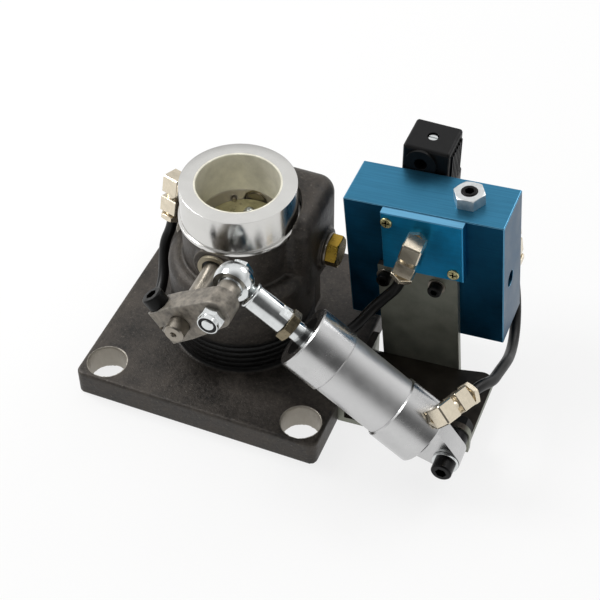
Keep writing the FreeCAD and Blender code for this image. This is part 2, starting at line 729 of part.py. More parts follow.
def disc_top(y):
    """Local Z out of the disc's upper face, at a distance along the shaft."""
    centre = DISC_FRAME.multVec(Vector(0, 0, -y))
    turn = DISC_FRAME.Rotation
    return frame(centre, turn.multVec(Vector(0, 1, 0)), turn.multVec(Vector(1, 0, 0)))


def butterfly_disc():
    plate = disc(DISC_D, DISC_THICK, -DISC_THICK / 2)
    plate = put(plate, disc_top(0))
    for y in (-DISC_SCREW_Y, DISC_SCREW_Y):
        plate = plate.cut(put(disc(DISC_SCREW_D, DISC_THICK, -DISC_THICK / 2), disc_top(y)))
    return plate


def disc_screws():
    screws = []
    for y in (-DISC_SCREW_Y, DISC_SCREW_Y):
        head_r = DISC_SCREW_HEAD_D / 2
        tall = DISC_SCREW_HEAD_TALL
        dome_r = (head_r ** 2 + tall ** 2) / (2 * tall)
        half_angle = math.asin(head_r / dome_r) / 2
        mid = (dome_r * math.sin(half_angle), tall - dome_r * (1 - math.cos(half_angle)))
        bottom = -DISC_THICK - DISC_SCREW_DEEP
        stem = DISC_SCREW_D / 2
        screw = turned([(0, bottom), (stem, bottom), (stem, 0), (head_r, 0, mid[0], mid[1]), (0, tall)])
        screw = screw.cut(hexagon(DISC_SCREW_SOCKET_AF, tall / 2, tall / 2))
        screws.append(put(screw, disc_top(y).multiply(Placement(Vector(0, 0, DISC_THICK / 2), Rotation()))))
    return Part.makeCompound(screws)


# Lever with its clamp screw
def lever_plate():
    """Arm with a square split tail and a round end, its flanks tangent to the end."""
    swing = math.asin((HUB_HALF - LEVER_END_R) / CRANK_R)
    tangent = Vector(CRANK_R + LEVER_END_R * math.sin(swing), LEVER_END_R * math.cos(swing), 0)
    hub = Vector(HUB_HALF * math.sin(swing), HUB_HALF * math.cos(swing), 0)
    low = [Vector(p.x, -p.y, 0) for p in (hub, tangent)]
    tail = [Vector(-LEVER_TAIL, HUB_HALF, 0), Vector(-LEVER_TAIL, -HUB_HALF, 0)]
    edges = [Part.LineSegment(tail[0], Vector(0, HUB_HALF, 0)).toShape()]
    mid_hub = Vector(HUB_HALF * math.sin(swing / 2), HUB_HALF * math.cos(swing / 2), 0)
    edges.append(Part.Arc(Vector(0, HUB_HALF, 0), mid_hub, hub).toShape())
    edges.append(Part.LineSegment(hub, tangent).toShape())
    edges.append(Part.Arc(tangent, Vector(CRANK_R + LEVER_END_R, 0, 0), low[1]).toShape())
    edges.append(Part.LineSegment(low[1], low[0]).toShape())
    edges.append(Part.Arc(low[0], Vector(mid_hub.x, -mid_hub.y, 0), Vector(0, -HUB_HALF, 0)).toShape())
    edges.append(Part.LineSegment(Vector(0, -HUB_HALF, 0), tail[1]).toShape())
    edges.append(Part.LineSegment(tail[1], tail[0]).toShape())
    plate = Part.Face(Part.Wire(edges)).extrude(Vector(0, 0, LEVER_THICK))
    return plate.makeFillet(LEVER_EDGE_R, level_edges(plate))


def clamp_frame():
    """Local Z out of the clamp screw's seat, in the lever's own axes."""
    seat = Vector(CLAMP_ALONG, CLAMP_SEAT, LEVER_THICK / 2)
    return frame(seat, (0, 1, 0), (1, 0, 0))


def lever():
    arm = lever_plate()
    arm = arm.cut(disc(SHAFT_D + 2 * SEAT_FIT, LEVER_THICK))
    pivot_hole = disc(PIVOT_D + 2 * SEAT_FIT, LEVER_THICK)
    arm = arm.cut(put(pivot_hole, Placement(Vector(CRANK_R, 0, 0), Rotation())))
    slit = bar((-LEVER_TAIL, 0), (-SLIT_WIDE / 2, SLIT_WIDE / 2), (0, LEVER_THICK))
    arm = arm.cut(slit)
    arm = arm.cut(put(disc(CLAMP_SPOT_D, CLAMP_HEAD_TALL), clamp_frame()))
    arm = arm.cut(put(disc(CLAMP_D, CLAMP_LONG, -CLAMP_LONG), clamp_frame()))
    return put(arm, LEVER.multiply(Placement(Vector(0, 0, -LEVER_BACK_Y), Rotation())))


def lever_clamp_screw():
    screw = cap_screw(CLAMP_D, CLAMP_LONG, CLAMP_HEAD_D, CLAMP_HEAD_TALL, CLAMP_SOCKET_AF)
    in_lever = put(screw, clamp_frame())
    return put(in_lever, LEVER.multiply(Placement(Vector(0, 0, -LEVER_BACK_Y), Rotation())))


# Pivot bolt line
def on_pivot(y):
    return along_y(y, BALL_X, BALL_Z)


BALL_BACK_Y = BALL_Y + BALL_WIDE / 2
BALL_FRONT_Y = BALL_Y - BALL_WIDE / 2
NYLOC_FRONT_Y = LEVER_FRONT_Y - NYLOC_TALL


def pivot_bolt():
    reach = BALL_BACK_Y - NYLOC_FRONT_Y + PIVOT_TIP_PAST_NUT
    head = hex_nut(PIVOT_HEAD_AF, PIVOT_HEAD_TALL, 0, -PIVOT_HEAD_TALL)
    shank = disc(PIVOT_D, reach)
    shank = shank.makeChamfer(PIVOT_TIP_CHAMFER, edges_above(shank, reach))
    return put(head.fuse(shank), on_pivot(BALL_BACK_Y))


def pivot_spacer():
    gap = BALL_FRONT_Y - LEVER_BACK_Y
    return put(ring(SPACER_D, PIVOT_D, gap), on_pivot(BALL_FRONT_Y))


def nyloc_nut():
    hex_tall = NYLOC_TALL - NYLOC_COLLAR_TALL
    nut = hex_nut(NYLOC_AF, hex_tall, PIVOT_D)
    nut = nut.fuse(ring(NYLOC_COLLAR_D, PIVOT_D, NYLOC_COLLAR_TALL, hex_tall))
    mouth = disc(NYLOC_MOUTH_D, NYLOC_MOUTH_DEEP, NYLOC_TALL - NYLOC_MOUTH_DEEP)
    return put(nut.cut(mouth), on_pivot(LEVER_FRONT_Y))


def rod_end_ball():
    sphere = Part.makeSphere(BALL_D / 2)
    ball = sphere.common(disc(BALL_D, BALL_WIDE, -BALL_WIDE / 2))
    return put(ball.cut(disc(PIVOT_D, BALL_WIDE, -BALL_WIDE / 2)), on_pivot(BALL_Y))


def rod_end():
    """Eye, collar and round shank with two flats at its end; local Z runs along the cylinder."""
    eye = disc(ROD_END_D, ROD_END_WIDE, -ROD_END_WIDE / 2)
    eye = eye.makeFillet(ROD_END_EDGE_R, level_edges(eye))
    eye = put(eye, frame((0, 0, 0), (0, 1, 0), (1, 0, 0)))
    neck_start = ROD_END_D / 4
    body = eye.fuse(disc(ROD_END_NECK_D, SHANK_START - neck_start, neck_start))
    body = body.fuse(disc(SHANK_D, SHANK_END - SHANK_START, SHANK_START))
    body = body.fuse(disc(SHANK_COLLAR_D, SHANK_COLLAR_WIDE, SHANK_START))
    flat_from = SHANK_END - SHANK_FLATS_LONG
    off_flat = bar((SHANK_FLATS_AF / 2, SHANK_D), (-SHANK_D, SHANK_D), (flat_from, SHANK_END))
    for degrees in (0, 180):
        body = body.cut(put(off_flat, Placement(Vector(), Rotation(Vector(0, 0, 1), degrees))))
    body = body.cut(Part.makeSphere(BALL_D / 2 + BALL_PLAY))
    body = body.cut(disc(ROD_THREAD_D, SHANK_END - ROD_THREAD_START, ROD_THREAD_START))
    oil = put(disc(OIL_HOLE_D, ROD_END_D), frame((0, 0, 0), (0, 0, -1), (1, 0, 0)))
    return put(body.cut(oil), CYLINDER)


def jam_nut():
    return put(hex_nut(JAM_NUT_AF, JAM_NUT_TALL, ROD_THREAD_D, SHANK_END), CYLINDER)


CAVITY_BACK = REAR_CAP_START + TUBE_IN_CAP
PISTON_BACK = CAVITY_BACK - PISTON_BACK_GAP


def piston_rod():
    rod_start = SHANK_END + JAM_NUT_TALL
    rod = disc(ROD_THREAD_D, rod_start - ROD_THREAD_START, ROD_THREAD_START)
    rod = rod.fuse(disc(ROD_D, PISTON_BACK - PISTON_LONG - rod_start, rod_start))
    return put(rod.fuse(disc(PISTON_SCREW_D, PISTON_LONG, PISTON_BACK - PISTON_LONG)), CYLINDER)


def piston():
    piston_d = TUBE_BORE_D - 2 * PISTON_PLAY
    body = ring(piston_d, PISTON_SCREW_D, PISTON_LONG, PISTON_BACK - PISTON_LONG)
    middle = PISTON_BACK - PISTON_LONG / 2 - PISTON_RING_WIDE / 2
    groove = ring(TUBE_BORE_D, piston_d - 2 * PISTON_RING_DEEP, PISTON_RING_WIDE, middle)
    return put(body.cut(groove), CYLINDER)


def piston_seal():
    piston_d = TUBE_BORE_D - 2 * PISTON_PLAY
    middle = PISTON_BACK - PISTON_LONG / 2 - PISTON_RING_WIDE / 2
    seal_d = TUBE_BORE_D - 2 * RUN_FIT
    return put(ring(seal_d, piston_d - 2 * PISTON_RING_DEEP, PISTON_RING_WIDE, middle), CYLINDER)


# Cylinder body
def front_port():
    """Local Z out of the front cap, on the lower side and leaned to the back."""
    return cap_port(180 + FRONT_PORT_LEAN, FRONT_PORT_AT)


def rear_port():
    """Local Z out of the rear cap, leaned a little to the front."""
    return cap_port(REAR_PORT_LEAN, REAR_PORT_AT)


def cap_port(degrees, reach):
    """On a cap, at an angle from the upper side towards the front and a distance from the ball."""
    angle = math.radians(degrees)
    outward = Vector(math.cos(angle), math.sin(angle), 0)
    foot = CYLINDER.multVec(outward * (CAP_D / 2) + Vector(0, 0, reach))
    return frame(foot, CYLINDER.Rotation.multVec(outward), ALONG)


def cap_blank(start, end):
    blank = disc(CAP_D, end - start, start)
    return blank.makeChamfer(CAP_CHAMFER, level_edges(blank))


def cylinder_front_cap():
    cap = cap_blank(FRONT_CAP_START, FRONT_CAP_END)
    cap = cap.cut(disc(TUBE_D + 2 * SEAT_FIT, TUBE_IN_CAP + 1, FRONT_CAP_END - TUBE_IN_CAP))
    cap = cap.cut(disc(GLAND_D, FRONT_CAP_END - FRONT_CAP_START, FRONT_CAP_START))
    cap = cap.cut(disc(WIPER_D, WIPER_THICK, FRONT_CAP_START))
    cap = put(cap, CYLINDER)
    return cap.cut(put(disc(PORT_D, PORT_DEEP, -PORT_DEEP), front_port()))


def rod_wiper():
    return put(ring(WIPER_D, ROD_D + 2 * RUN_FIT, WIPER_THICK, FRONT_CAP_START), CYLINDER)


def rod_gland():
    return put(ring(GLAND_D, ROD_D + 2 * RUN_FIT, GLAND_LONG, FRONT_CAP_START + WIPER_THICK), CYLINDER)


def cylinder_tube():
    start = FRONT_CAP_END - TUBE_IN_CAP
    return put(ring(TUBE_D, TUBE_BORE_D, REAR_CAP_START + TUBE_IN_CAP - start, start), CYLINDER)


def tail_lug():
    """Flat lug that tapers from the cap to a round end about the eye."""
    reach = AXIS_LONG - LUG_ROOT_AT
    lean = math.atan2(LUG_ROOT_HALF, reach)
    tangent_angle = lean + math.acos(LUG_END_R / math.hypot(reach, LUG_ROOT_HALF))
    touch = Vector(AXIS_LONG - LUG_END_R * math.cos(tangent_angle), LUG_END_R * math.sin(tangent_angle), 0)
    root = REAR_CAP_END - EMBED
    corners = [Vector(root, LUG_ROOT_HALF, 0), Vector(LUG_ROOT_AT, LUG_ROOT_HALF, 0), touch]
    mirrored = [Vector(p.x, -p.y, 0) for p in corners]
    edges = [Part.LineSegment(corners[k], corners[k + 1]).toShape() for k in range(2)]
    edges.append(Part.Arc(touch, Vector(AXIS_LONG + LUG_END_R, 0, 0), mirrored[2]).toShape())
    edges += [Part.LineSegment(mirrored[k + 1], mirrored[k]).toShape() for k in (1, 0)]
    edges.append(Part.LineSegment(mirrored[0], corners[0]).toShape())
    lug = Part.Face(Part.Wire(edges)).extrude(Vector(0, 0, LUG_THICK))
    return put(lug, frame(BALL_AT + Vector(0, LUG_THICK / 2, 0), (0, -1, 0), ALONG))


def cylinder_rear_cap():
    cap = cap_blank(REAR_CAP_START, REAR_CAP_END)
    cap = cap.cut(disc(TUBE_D + 2 * SEAT_FIT, TUBE_IN_CAP + 1, REAR_CAP_START - 1))
    cap = put(cap, CYLINDER).fuse(tail_lug())
    cap = cap.cut(put(disc(PORT_D, PORT_DEEP, -PORT_DEEP), rear_port()))
    eye = put(disc(LUG_EYE_D, LUG_THICK), along_y(BALL_Y + LUG_THICK / 2, PIN_X, PIN_Z))
    return cap.cut(eye)


# Tail screw line
LUG_FRONT_Y = BALL_Y - LUG_THICK / 2
LUG_BACK_Y = BALL_Y + LUG_THICK / 2
TAIL_WASHER_Y = LUG_FRONT_Y - SIDE_PLAY
TAIL_SEAT_Y = TAIL_WASHER_Y - TAIL_WASHER_THICK
TAIL_SPACER_Y = LUG_BACK_Y + SIDE_PLAY


def on_tail(y):
    return along_y(y, PIN_X, PIN_Z)


def tail_screw():
    length = TAB_BACK_Y + TAIL_NUT_TALL + TAIL_TIP_PAST_NUT - TAIL_SEAT_Y
    return put(cap_screw(TAIL_D, length, TAIL_HEAD_D, TAIL_HEAD_TALL, TAIL_SOCKET_AF), on_tail(TAIL_SEAT_Y))


def tail_washer():
    return put(ring(TAIL_WASHER_D, TAIL_D, TAIL_WASHER_THICK), on_tail(TAIL_WASHER_Y))


def tail_spacer():
    length = TAB_BACK_Y - SHEET - TAIL_SPACER_Y
    return put(ring(TAIL_SPACER_D, TAIL_D, length), on_tail(TAB_BACK_Y - SHEET))


def tail_nut():
    return put(hex_nut(TAIL_NUT_AF, TAIL_NUT_TALL, TAIL_D), on_tail(TAB_BACK_Y + TAIL_NUT_TALL))


# Control block and what is on it
def valve_block():
    block = bar((0, BLOCK_WIDE), (0, BLOCK_DEEP), (-BLOCK_TALL, 0))
    block = block.makeChamfer(BLOCK_EDGE, block.Edges)
    side = frame((BLOCK_WIDE, SIDE_PORT_Y, -SIDE_PORT_DOWN), (-1, 0, 0), (0, 1, 0))
    block = block.cut(put(disc(SIDE_PORT_D, SIDE_PORT_DEEP), side))
    tapped = put(disc(ADJUST_D, ADJUST_DEEP, -ADJUST_DEEP), ADJUST_AT)
    block = block.cut(tapped)
    block = put(block, BLOCK)
    block_hole = disc(BLOCK_SCREW_D, BLOCK_SCREW_DEEP, -BLOCK_SCREW_DEEP)
    plate_hole = disc(PLATE_SCREW_D, PLATE_SCREW_DEEP, -PLATE_SCREW_DEEP)
    for x, z in BLOCK_SCREWS:
        block = block.cut(put(block_hole, at_front(x, z)))
    for x, z in PLATE_SCREWS:
        block = block.cut(put(plate_hole, at_front(x, z)))
    block = block.cut(put(disc(STEM_D, STUD_IN_PORT, -STUD_IN_PORT), stem_frame()))
    return block.cut(put(disc(PORT_D, STUD_IN_PORT, -STUD_IN_PORT), back_port()))


def front_plate():
    low = -PLATE_DOWN - PLATE_TALL
    plate = bar((PLATE_LEFT, PLATE_LEFT + PLATE_WIDE), (-PLATE_THICK, 0), (low, -PLATE_DOWN))
    front_edges = [edge for edge in plate.Edges if edge.BoundBox.YMax < -PLATE_THICK / 2]
    plate = put(plate.makeChamfer(BLOCK_EDGE, front_edges), BLOCK)
    sink = PLATE_SCREW_HEAD_TALL / 2
    screw_hole = disc(PLATE_SCREW_D, PLATE_THICK, -PLATE_THICK).fuse(disc(PLATE_SCREW_HEAD_D, sink, -sink))
    for x, z in PLATE_SCREWS:
        plate = plate.cut(put(screw_hole, at_front(x, z, -PLATE_THICK)))
    return plate.cut(put(disc(PORT_D, PLATE_THICK, -PLATE_THICK), plate_port()))


def cross_recess(top):
    """Two crossed slots, cut from a screw head."""
    half_wide = CROSS_WIDE / 2
    half_thick = CROSS_SLOT / 2
    one = bar((-half_wide, half_wide), (-half_thick, half_thick), (top - CROSS_DEEP, top))
    return one.fuse(put(one, Placement(Vector(), Rotation(Vector(0, 0, 1), 90))))


def plate_screws():
    screws = []
    for x, z in PLATE_SCREWS:
        bottom = -PLATE_SCREW_HEAD_TALL / 2
        head = disc(PLATE_SCREW_HEAD_D, PLATE_SCREW_HEAD_TALL, bottom)
        head = head.makeFillet(PLATE_SCREW_EDGE_R, edges_above(head, bottom + PLATE_SCREW_HEAD_TALL))
        stem_long = PLATE_THICK + PLATE_SCREW_DEEP + bottom
        screw = head.fuse(disc(PLATE_SCREW_D, stem_long, bottom - stem_long))
        top = bottom + PLATE_SCREW_HEAD_TALL
        screw = screw.cut(cross_recess(top))
        screws.append(put(screw, at_front(x, z, -PLATE_THICK)))
    return Part.makeCompound(screws)


def adjuster_screw():
    top = LOCK_NUT_TALL + ADJUST_PROUD
    screw = disc(ADJUST_D, ADJUST_DEEP + top, -ADJUST_DEEP)
    screw = screw.makeChamfer(ADJUST_CHAMFER, edges_above(screw, top))
    screw = screw.cut(hexagon(ADJUST_SOCKET_AF, ADJUST_SOCKET_AF, top - ADJUST_SOCKET_AF))
    return put(screw, BLOCK.multiply(ADJUST_AT))


def lock_nut():
    nut = hex_nut(LOCK_NUT_AF, LOCK_NUT_TALL, ADJUST_D, low_chamfer=False)
    return put(nut, BLOCK.multiply(ADJUST_AT))


# Bracket
def bracket():
    """Leg, foot and the tail tab of one bent plate, with a riser welded on where it meets the base."""
    foot_low = -FOOT_DOWN
    leg_back = 0.0
    leg = bar((LEG_LEFT, LEG_LEFT + LEG_WIDE), (leg_back - SHEET, leg_back), (foot_low, -LEG_TOP_DOWN))
    near = FOOT_NEAR_Y - BLOCK_FRONT
    far = FOOT_FAR_Y - BLOCK_FRONT
    top_down = FOOT_DOWN - SHEET
    left = (BASE_HALF + BASE_GAP - BLOCK_LEFT) / math.cos(LEAN_ANGLE) - top_down * math.tan(LEAN_ANGLE)
    leg_front = leg_back - SHEET
    leg_right = LEG_LEFT + LEG_WIDE
    outline = [(left, near), (FOOT_RIGHT, near), (FOOT_RIGHT, far), (leg_right, leg_front)]
    outline += [(leg_right, leg_back), (LEG_LEFT, leg_back), (LEG_LEFT, leg_front), (left, leg_front)]
    outline.append(outline[0])
    foot = Part.Face(Part.makePolygon([Vector(x, y, 0) for x, y in outline])).extrude(Vector(0, 0, SHEET))
    corner = [edge for edge in foot.Edges
              if edge.BoundBox.XMin > FOOT_RIGHT - TRIM and edge.BoundBox.YMin > far - TRIM]
    foot = foot.makeFillet(FOOT_CORNER_R, corner)
    foot.translate(Vector(0, 0, foot_low))
    plate = put(leg.fuse(foot), BLOCK)
    tab = disc(2 * TAB_HALF, SHEET).fuse(bar((-TAB_HALF, TAB_HALF), (-PIN_Z, 0), (0, SHEET)))
    plate = plate.fuse(put(tab, on_tail(TAB_BACK_Y)).cut(put(below_foot(), BLOCK)))
    riser_x = BASE_HALF + BASE_GAP
    riser = bar((riser_x, riser_x + SHEET), (FOOT_NEAR_Y, BLOCK_FRONT), (0, RISER_TOP))
    plate = plate.fuse(riser.cut(put(below_foot(), BLOCK)))
    plate = plate.cut(put(disc(TAIL_D + 2 * SCREW_PLAY, SHEET), on_tail(TAB_BACK_Y)))
    for x, z in BLOCK_SCREWS:
        plate = plate.cut(put(disc(BLOCK_SCREW_D + 2 * SCREW_PLAY, SHEET), at_front(x, z)))
    for y in BRACKET_SCREW_YS:
        line = frame((BASE_HALF, y, BRACKET_SCREW_Z), (1, 0, 0), (0, 1, 0))
        plate = plate.cut(put(disc(BRACKET_SCREW_D + 2 * SCREW_PLAY, SHEET + 1), line))
    return plate


def below_foot():
    """The space under the foot plate's lower face, in the block's axes."""
    reach = BLOCK_WIDE + 2 * BASE_HALF
    return bar((-reach, reach), (-reach, reach), (-FOOT_DOWN - RISER_TOP, -FOOT_DOWN))


def bracket_screws():
    screws = []
    seat_x = BASE_HALF + BASE_GAP + SHEET
    for y in BRACKET_SCREW_YS:
        screw = cap_screw(BRACKET_SCREW_D, BRACKET_SCREW_DEEP + SHEET, BRACKET_SCREW_HEAD_D,
                          BRACKET_SCREW_HEAD_TALL, BRACKET_SOCKET_AF)
        screws.append(put(screw, frame((seat_x, y, BRACKET_SCREW_Z), (1, 0, 0), (0, 1, 0))))
    return Part.makeCompound(screws)


def block_screws():
    screws = []
    for x, z in BLOCK_SCREWS:
        seat = at_front(x, z, -SHEET - BLOCK_SCREW_WASHER_THICK)
        length = BLOCK_SCREW_DEEP + SHEET + BLOCK_SCREW_WASHER_THICK
        screws.append(put(cap_screw(BLOCK_SCREW_D, length, BLOCK_SCREW_HEAD_D, BLOCK_SCREW_HEAD_TALL,
                                    BLOCK_SCREW_SOCKET_AF), seat))
    return Part.makeCompound(screws)


def block_screw_washers():
    washers = []
    for x, z in BLOCK_SCREWS:
        washer = ring(BLOCK_SCREW_WASHER_D, BLOCK_SCREW_D, BLOCK_SCREW_WASHER_THICK)
        washers.append(put(washer, at_front(x, z, -SHEET)))
    return Part.makeCompound(washers)


# Solenoid behind the block
BLOCK_BACK_Y = BLOCK_FRONT + BLOCK_DEEP
COIL_BACK_Y = COIL_FRONT + COIL_DEEP


def stem_frame():
    """On the block's back face, with local Z backwards."""
    return frame((COIL_LEFT + COIL_WIDE / 2, BLOCK_BACK_Y, COIL_LOW + COIL_TALL / 2), (0, 1, 0), (1, 0, 0))


def solenoid_coil():
    top = COIL_LOW + COIL_TALL
    coil = bar((COIL_LEFT, COIL_LEFT + COIL_WIDE), (COIL_FRONT, COIL_BACK_Y), (COIL_LOW, top))
    long_edges = [edge for edge in coil.Edges if edge.BoundBox.YLength > COIL_DEEP / 2]
    coil = coil.makeFillet(COIL_EDGE_R, long_edges)
    return coil.cut(put(disc(STEM_D, COIL_DEEP + COIL_FRONT), stem_frame()))


def solenoid_stem():
    gap = COIL_FRONT - BLOCK_BACK_Y
    plate = hexagon(STEM_PLATE_AF, gap)
    stem = disc(STEM_D, STUD_IN_PORT + gap + COIL_DEEP + COIL_NUT_TALL, -STUD_IN_PORT)
    return put(plate.fuse(stem), stem_frame())


def solenoid_nut():
    start = COIL_FRONT - BLOCK_BACK_Y + COIL_DEEP
    return put(hex_nut(COIL_NUT_AF, COIL_NUT_TALL, STEM_D, start), stem_frame())


PLUG_BODY_LOW = COIL_LOW + COIL_TALL + PLUG_GASKET


def plug_screw_frame():
    x = PLUG_BODY_LEFT + PLUG_BODY_WIDE / 2
    return Placement(Vector(x, PLUG_BODY_FRONT + PLUG_BODY_DEEP / 2, 0), Rotation())


def connector_gasket():
    inset = PLUG_BODY_EDGE_R
    gasket = bar((PLUG_BODY_LEFT + inset, PLUG_BODY_LEFT + PLUG_BODY_WIDE - inset),
                 (PLUG_BODY_FRONT + inset, PLUG_BODY_FRONT + PLUG_BODY_DEEP - inset),
                 (PLUG_BODY_LOW - PLUG_GASKET, PLUG_BODY_LOW))
    return gasket.cut(put(disc(PLUG_SCREW_D, CHAMBER_TOP, PLUG_BODY_LOW - PLUG_GASKET), plug_screw_frame()))


def plug_connector():
    """Moulded housing with a round cable entry in front and ribs down its right side."""
    body = bar((PLUG_BODY_LEFT, PLUG_BODY_LEFT + PLUG_BODY_WIDE),
               (PLUG_BODY_FRONT, PLUG_BODY_FRONT + PLUG_BODY_DEEP), (PLUG_BODY_LOW, PLUG_BODY_TOP))
    keep = [edge for edge in body.Edges if edge.BoundBox.ZMax > PLUG_BODY_LOW + 1]
    body = body.makeFillet(PLUG_BODY_EDGE_R, keep)
    right = PLUG_BODY_LEFT + PLUG_BODY_WIDE
    rib_top = PLUG_BODY_TOP - 2 * PLUG_BODY_EDGE_R
    pitch = PLUG_BODY_DEEP / (PLUG_SIDE_RIBS + 2)
    for k in range(PLUG_SIDE_RIBS):
        start = PLUG_BODY_FRONT + pitch * (k + 1) + pitch / 4
        across = (right - PLUG_SIDE_RIB, right + PLUG_SIDE_RIB)
        body = body.fuse(bar(across, (start, start + pitch / 2), (PLUG_BODY_LOW, rib_top)))
    entry = gland_frame()
    gland = disc(CABLE_GLAND_D, CABLE_GLAND_PROUD + PLUG_BODY_EDGE_R, -PLUG_BODY_EDGE_R)
    body = body.fuse(put(gland, entry))
    mouth = disc(CABLE_MOUTH_D, CABLE_MOUTH_DEEP, CABLE_GLAND_PROUD - CABLE_MOUTH_DEEP)
    body = body.cut(put(mouth, entry))
    well = disc(PLUG_SCREW_WELL_D, PLUG_SCREW_WELL_DEEP, PLUG_BODY_TOP - PLUG_SCREW_WELL_DEEP)
    body = body.cut(put(well, plug_screw_frame()))
    return body.cut(put(disc(PLUG_SCREW_D, PLUG_BODY_TOP, PLUG_BODY_LOW), plug_screw_frame()))


def gland_frame():
    """The round cable entry on the housing's front face."""
    centre = (PLUG_BODY_LEFT + CABLE_GLAND_IN, PLUG_BODY_FRONT, PLUG_BODY_TOP - CABLE_GLAND_DOWN)
    return frame(centre, (0, -1, 0), (1, 0, 0))


def connector_screw():
    seat = PLUG_BODY_TOP - PLUG_SCREW_WELL_DEEP
    head = disc(PLUG_SCREW_HEAD_D, PLUG_SCREW_HEAD_TALL, seat)
    half_slot = PLUG_SCREW_SLOT / 2
    slot_low = seat + PLUG_SCREW_HEAD_TALL / 2
    slot = bar((-PLUG_SCREW_HEAD_D, PLUG_SCREW_HEAD_D), (-half_slot, half_slot), (slot_low, PLUG_BODY_TOP))
    low = PLUG_BODY_LOW - PLUG_GASKET
    return put(head.cut(slot).fuse(disc(PLUG_SCREW_D, seat - low, low)), plug_screw_frame())


# Elbow fittings, drawn with the stud down local Z and the outlet along local X
def elbow_body():
    half = ELBOW_AF / 2
    block = square_bar(ELBOW_AF, ELBOW_AF, -half)
    block = block.makeChamfer(ELBOW_CHAMFER, block.Edges)
    outlet = frame((0, 0, 0), (1, 0, 0), (0, 0, 1))
    groove = disc(ELBOW_GROOVE_D, ELBOW_GROOVE_END - half + ELBOW_CHAMFER, half - ELBOW_CHAMFER)
    sleeve = square_bar(ELBOW_AF, ELBOW_BODY_END - ELBOW_GROOVE_END, ELBOW_GROOVE_END)
    sleeve = sleeve.makeChamfer(ELBOW_CHAMFER / 2, sleeve.Edges)
    neck = disc(ELBOW_NECK_D, ELBOW_NECK_END - ELBOW_GROOVE_END, ELBOW_GROOVE_END)
    for piece in (groove, sleeve, neck):
        block = block.fuse(put(piece, outlet))
    stud_hex = hexagon(ELBOW_AF, ELBOW_STUD_HEX_TALL, -half - ELBOW_STUD_HEX_TALL)
    stud_start = -half - ELBOW_STUD_HEX_TALL - STUD_IN_PORT
    stud = disc(PORT_D, -stud_start, stud_start)
    bore = disc(FLOW_BORE_D, -stud_start, stud_start).fuse(put(disc(FLOW_BORE_D, ELBOW_NECK_END), outlet))
    return block.fuse(stud_hex).fuse(stud).cut(bore)


def hose_nut(start=ELBOW_NECK_END):
    """Hexagon nut with a tapered end, along local Z from its start."""
    hex_long = ELBOW_NUT_LONG - ELBOW_TAPER_LONG
    nut = hex_nut(ELBOW_NUT_AF, hex_long, 0, start)
    taper = cone(ELBOW_NUT_AF * HEX_FACE_SHARE, ELBOW_TAPER_D, ELBOW_TAPER_LONG, start + hex_long)
    return nut.fuse(taper).cut(disc(FLOW_BORE_D, ELBOW_NUT_LONG, start))


def elbow_on(port, outlet_toward):
    """The elbow's frame on a port, its outlet turned as near as it can be to a direction."""
    up = port.Rotation.multVec(Vector(0, 0, 1))
    rise = ELBOW_AF / 2 + ELBOW_STUD_HEX_TALL
    return frame(port.Base + up * rise, up, outlet_toward)


def outlet_frame(elbow):
    return elbow.multiply(frame((0, 0, 0), (1, 0, 0), (0, 0, 1)))


def outlet_end(elbow, gap=0.0):
    """Where the hose leaves the nut, and the way it points."""
    along = outlet_frame(elbow)
    way = along.Rotation.multVec(Vector(0, 0, 1))
    return along.multVec(Vector(0, 0, ELBOW_NECK_END + ELBOW_NUT_LONG + gap)), way


def plate_port():
    return at_front(PLATE_ELBOW_AT[0], PLATE_ELBOW_AT[1], -PLATE_THICK)


def back_port():
    return frame(BLOCK.multVec(Vector(BACK_ELBOW_AT[0], BLOCK_DEEP, BACK_ELBOW_AT[1])), (0, 1, 0), (1, 0, 0))


def neck_port():
    angle = math.radians(NECK_ELBOW_ANGLE)
    outward = Vector(math.cos(angle), math.sin(angle), 0)
    return frame(outward * NECK_PORT_R + Vector(0, 0, NECK_ELBOW_Z), outward, (0, 0, 1))


def down_tilted(degrees, axis):
    return Rotation(Vector(*axis), degrees).multVec(Vector(0, 0, -1))


PLATE_OUTLET = down_tilted(PLATE_ELBOW_TILT, (0, 1, 0))
NECK_OUTLET = down_tilted(-NECK_ELBOW_TILT, (1, 0, 0))
BACK_OUTLET = down_tilted(BACK_ELBOW_TILT, (0, 1, 0))
FRONT_OUTLET = Vector(0.58, 0.814, -0.044)
REAR_OUTLET = Vector(0.36, 0.92, -0.13)
ELBOWS = {
    "plate_elbow": elbow_on(plate_port(), PLATE_OUTLET),
    "back_elbow": elbow_on(back_port(), BACK_OUTLET),
    "neck_elbow": elbow_on(neck_port(), NECK_OUTLET),
    "front_cap_elbow": elbow_on(front_port(), FRONT_OUTLET),
    "rear_cap_elbow": elbow_on(rear_port(), REAR_OUTLET),
}


CYLINDER_ELBOWS = ("front_cap_elbow", "rear_cap_elbow")
FIXED_ELBOWS = ("plate_elbow", "back_elbow", "neck_elbow")


def elbow_group(names):
    return Part.makeCompound([put(elbow_body(), ELBOWS[name]) for name in names])


def nut_group(names):
    return Part.makeCompound([put(hose_nut(), outlet_frame(ELBOWS[name])) for name in names])


def foot_nipple():
    """Straight fitting screwed into the lug on the barrel's foot."""
    face = FOOT_PORT_LONG / 2
    fitting = disc(NIPPLE_STEM_D, STUD_IN_PORT + NIPPLE_STEM_LONG, face - STUD_IN_PORT)
    fitting = fitting.fuse(hose_nut(face + NIPPLE_STEM_LONG))
    return put(fitting, foot_port_frame())


def nipple_end():
    along = foot_port_frame()
    reach = FOOT_PORT_LONG / 2 + NIPPLE_STEM_LONG + ELBOW_NUT_LONG
    return along.multVec(Vector(0, 0, reach)), along.Rotation.multVec(Vector(0, 0, 1))


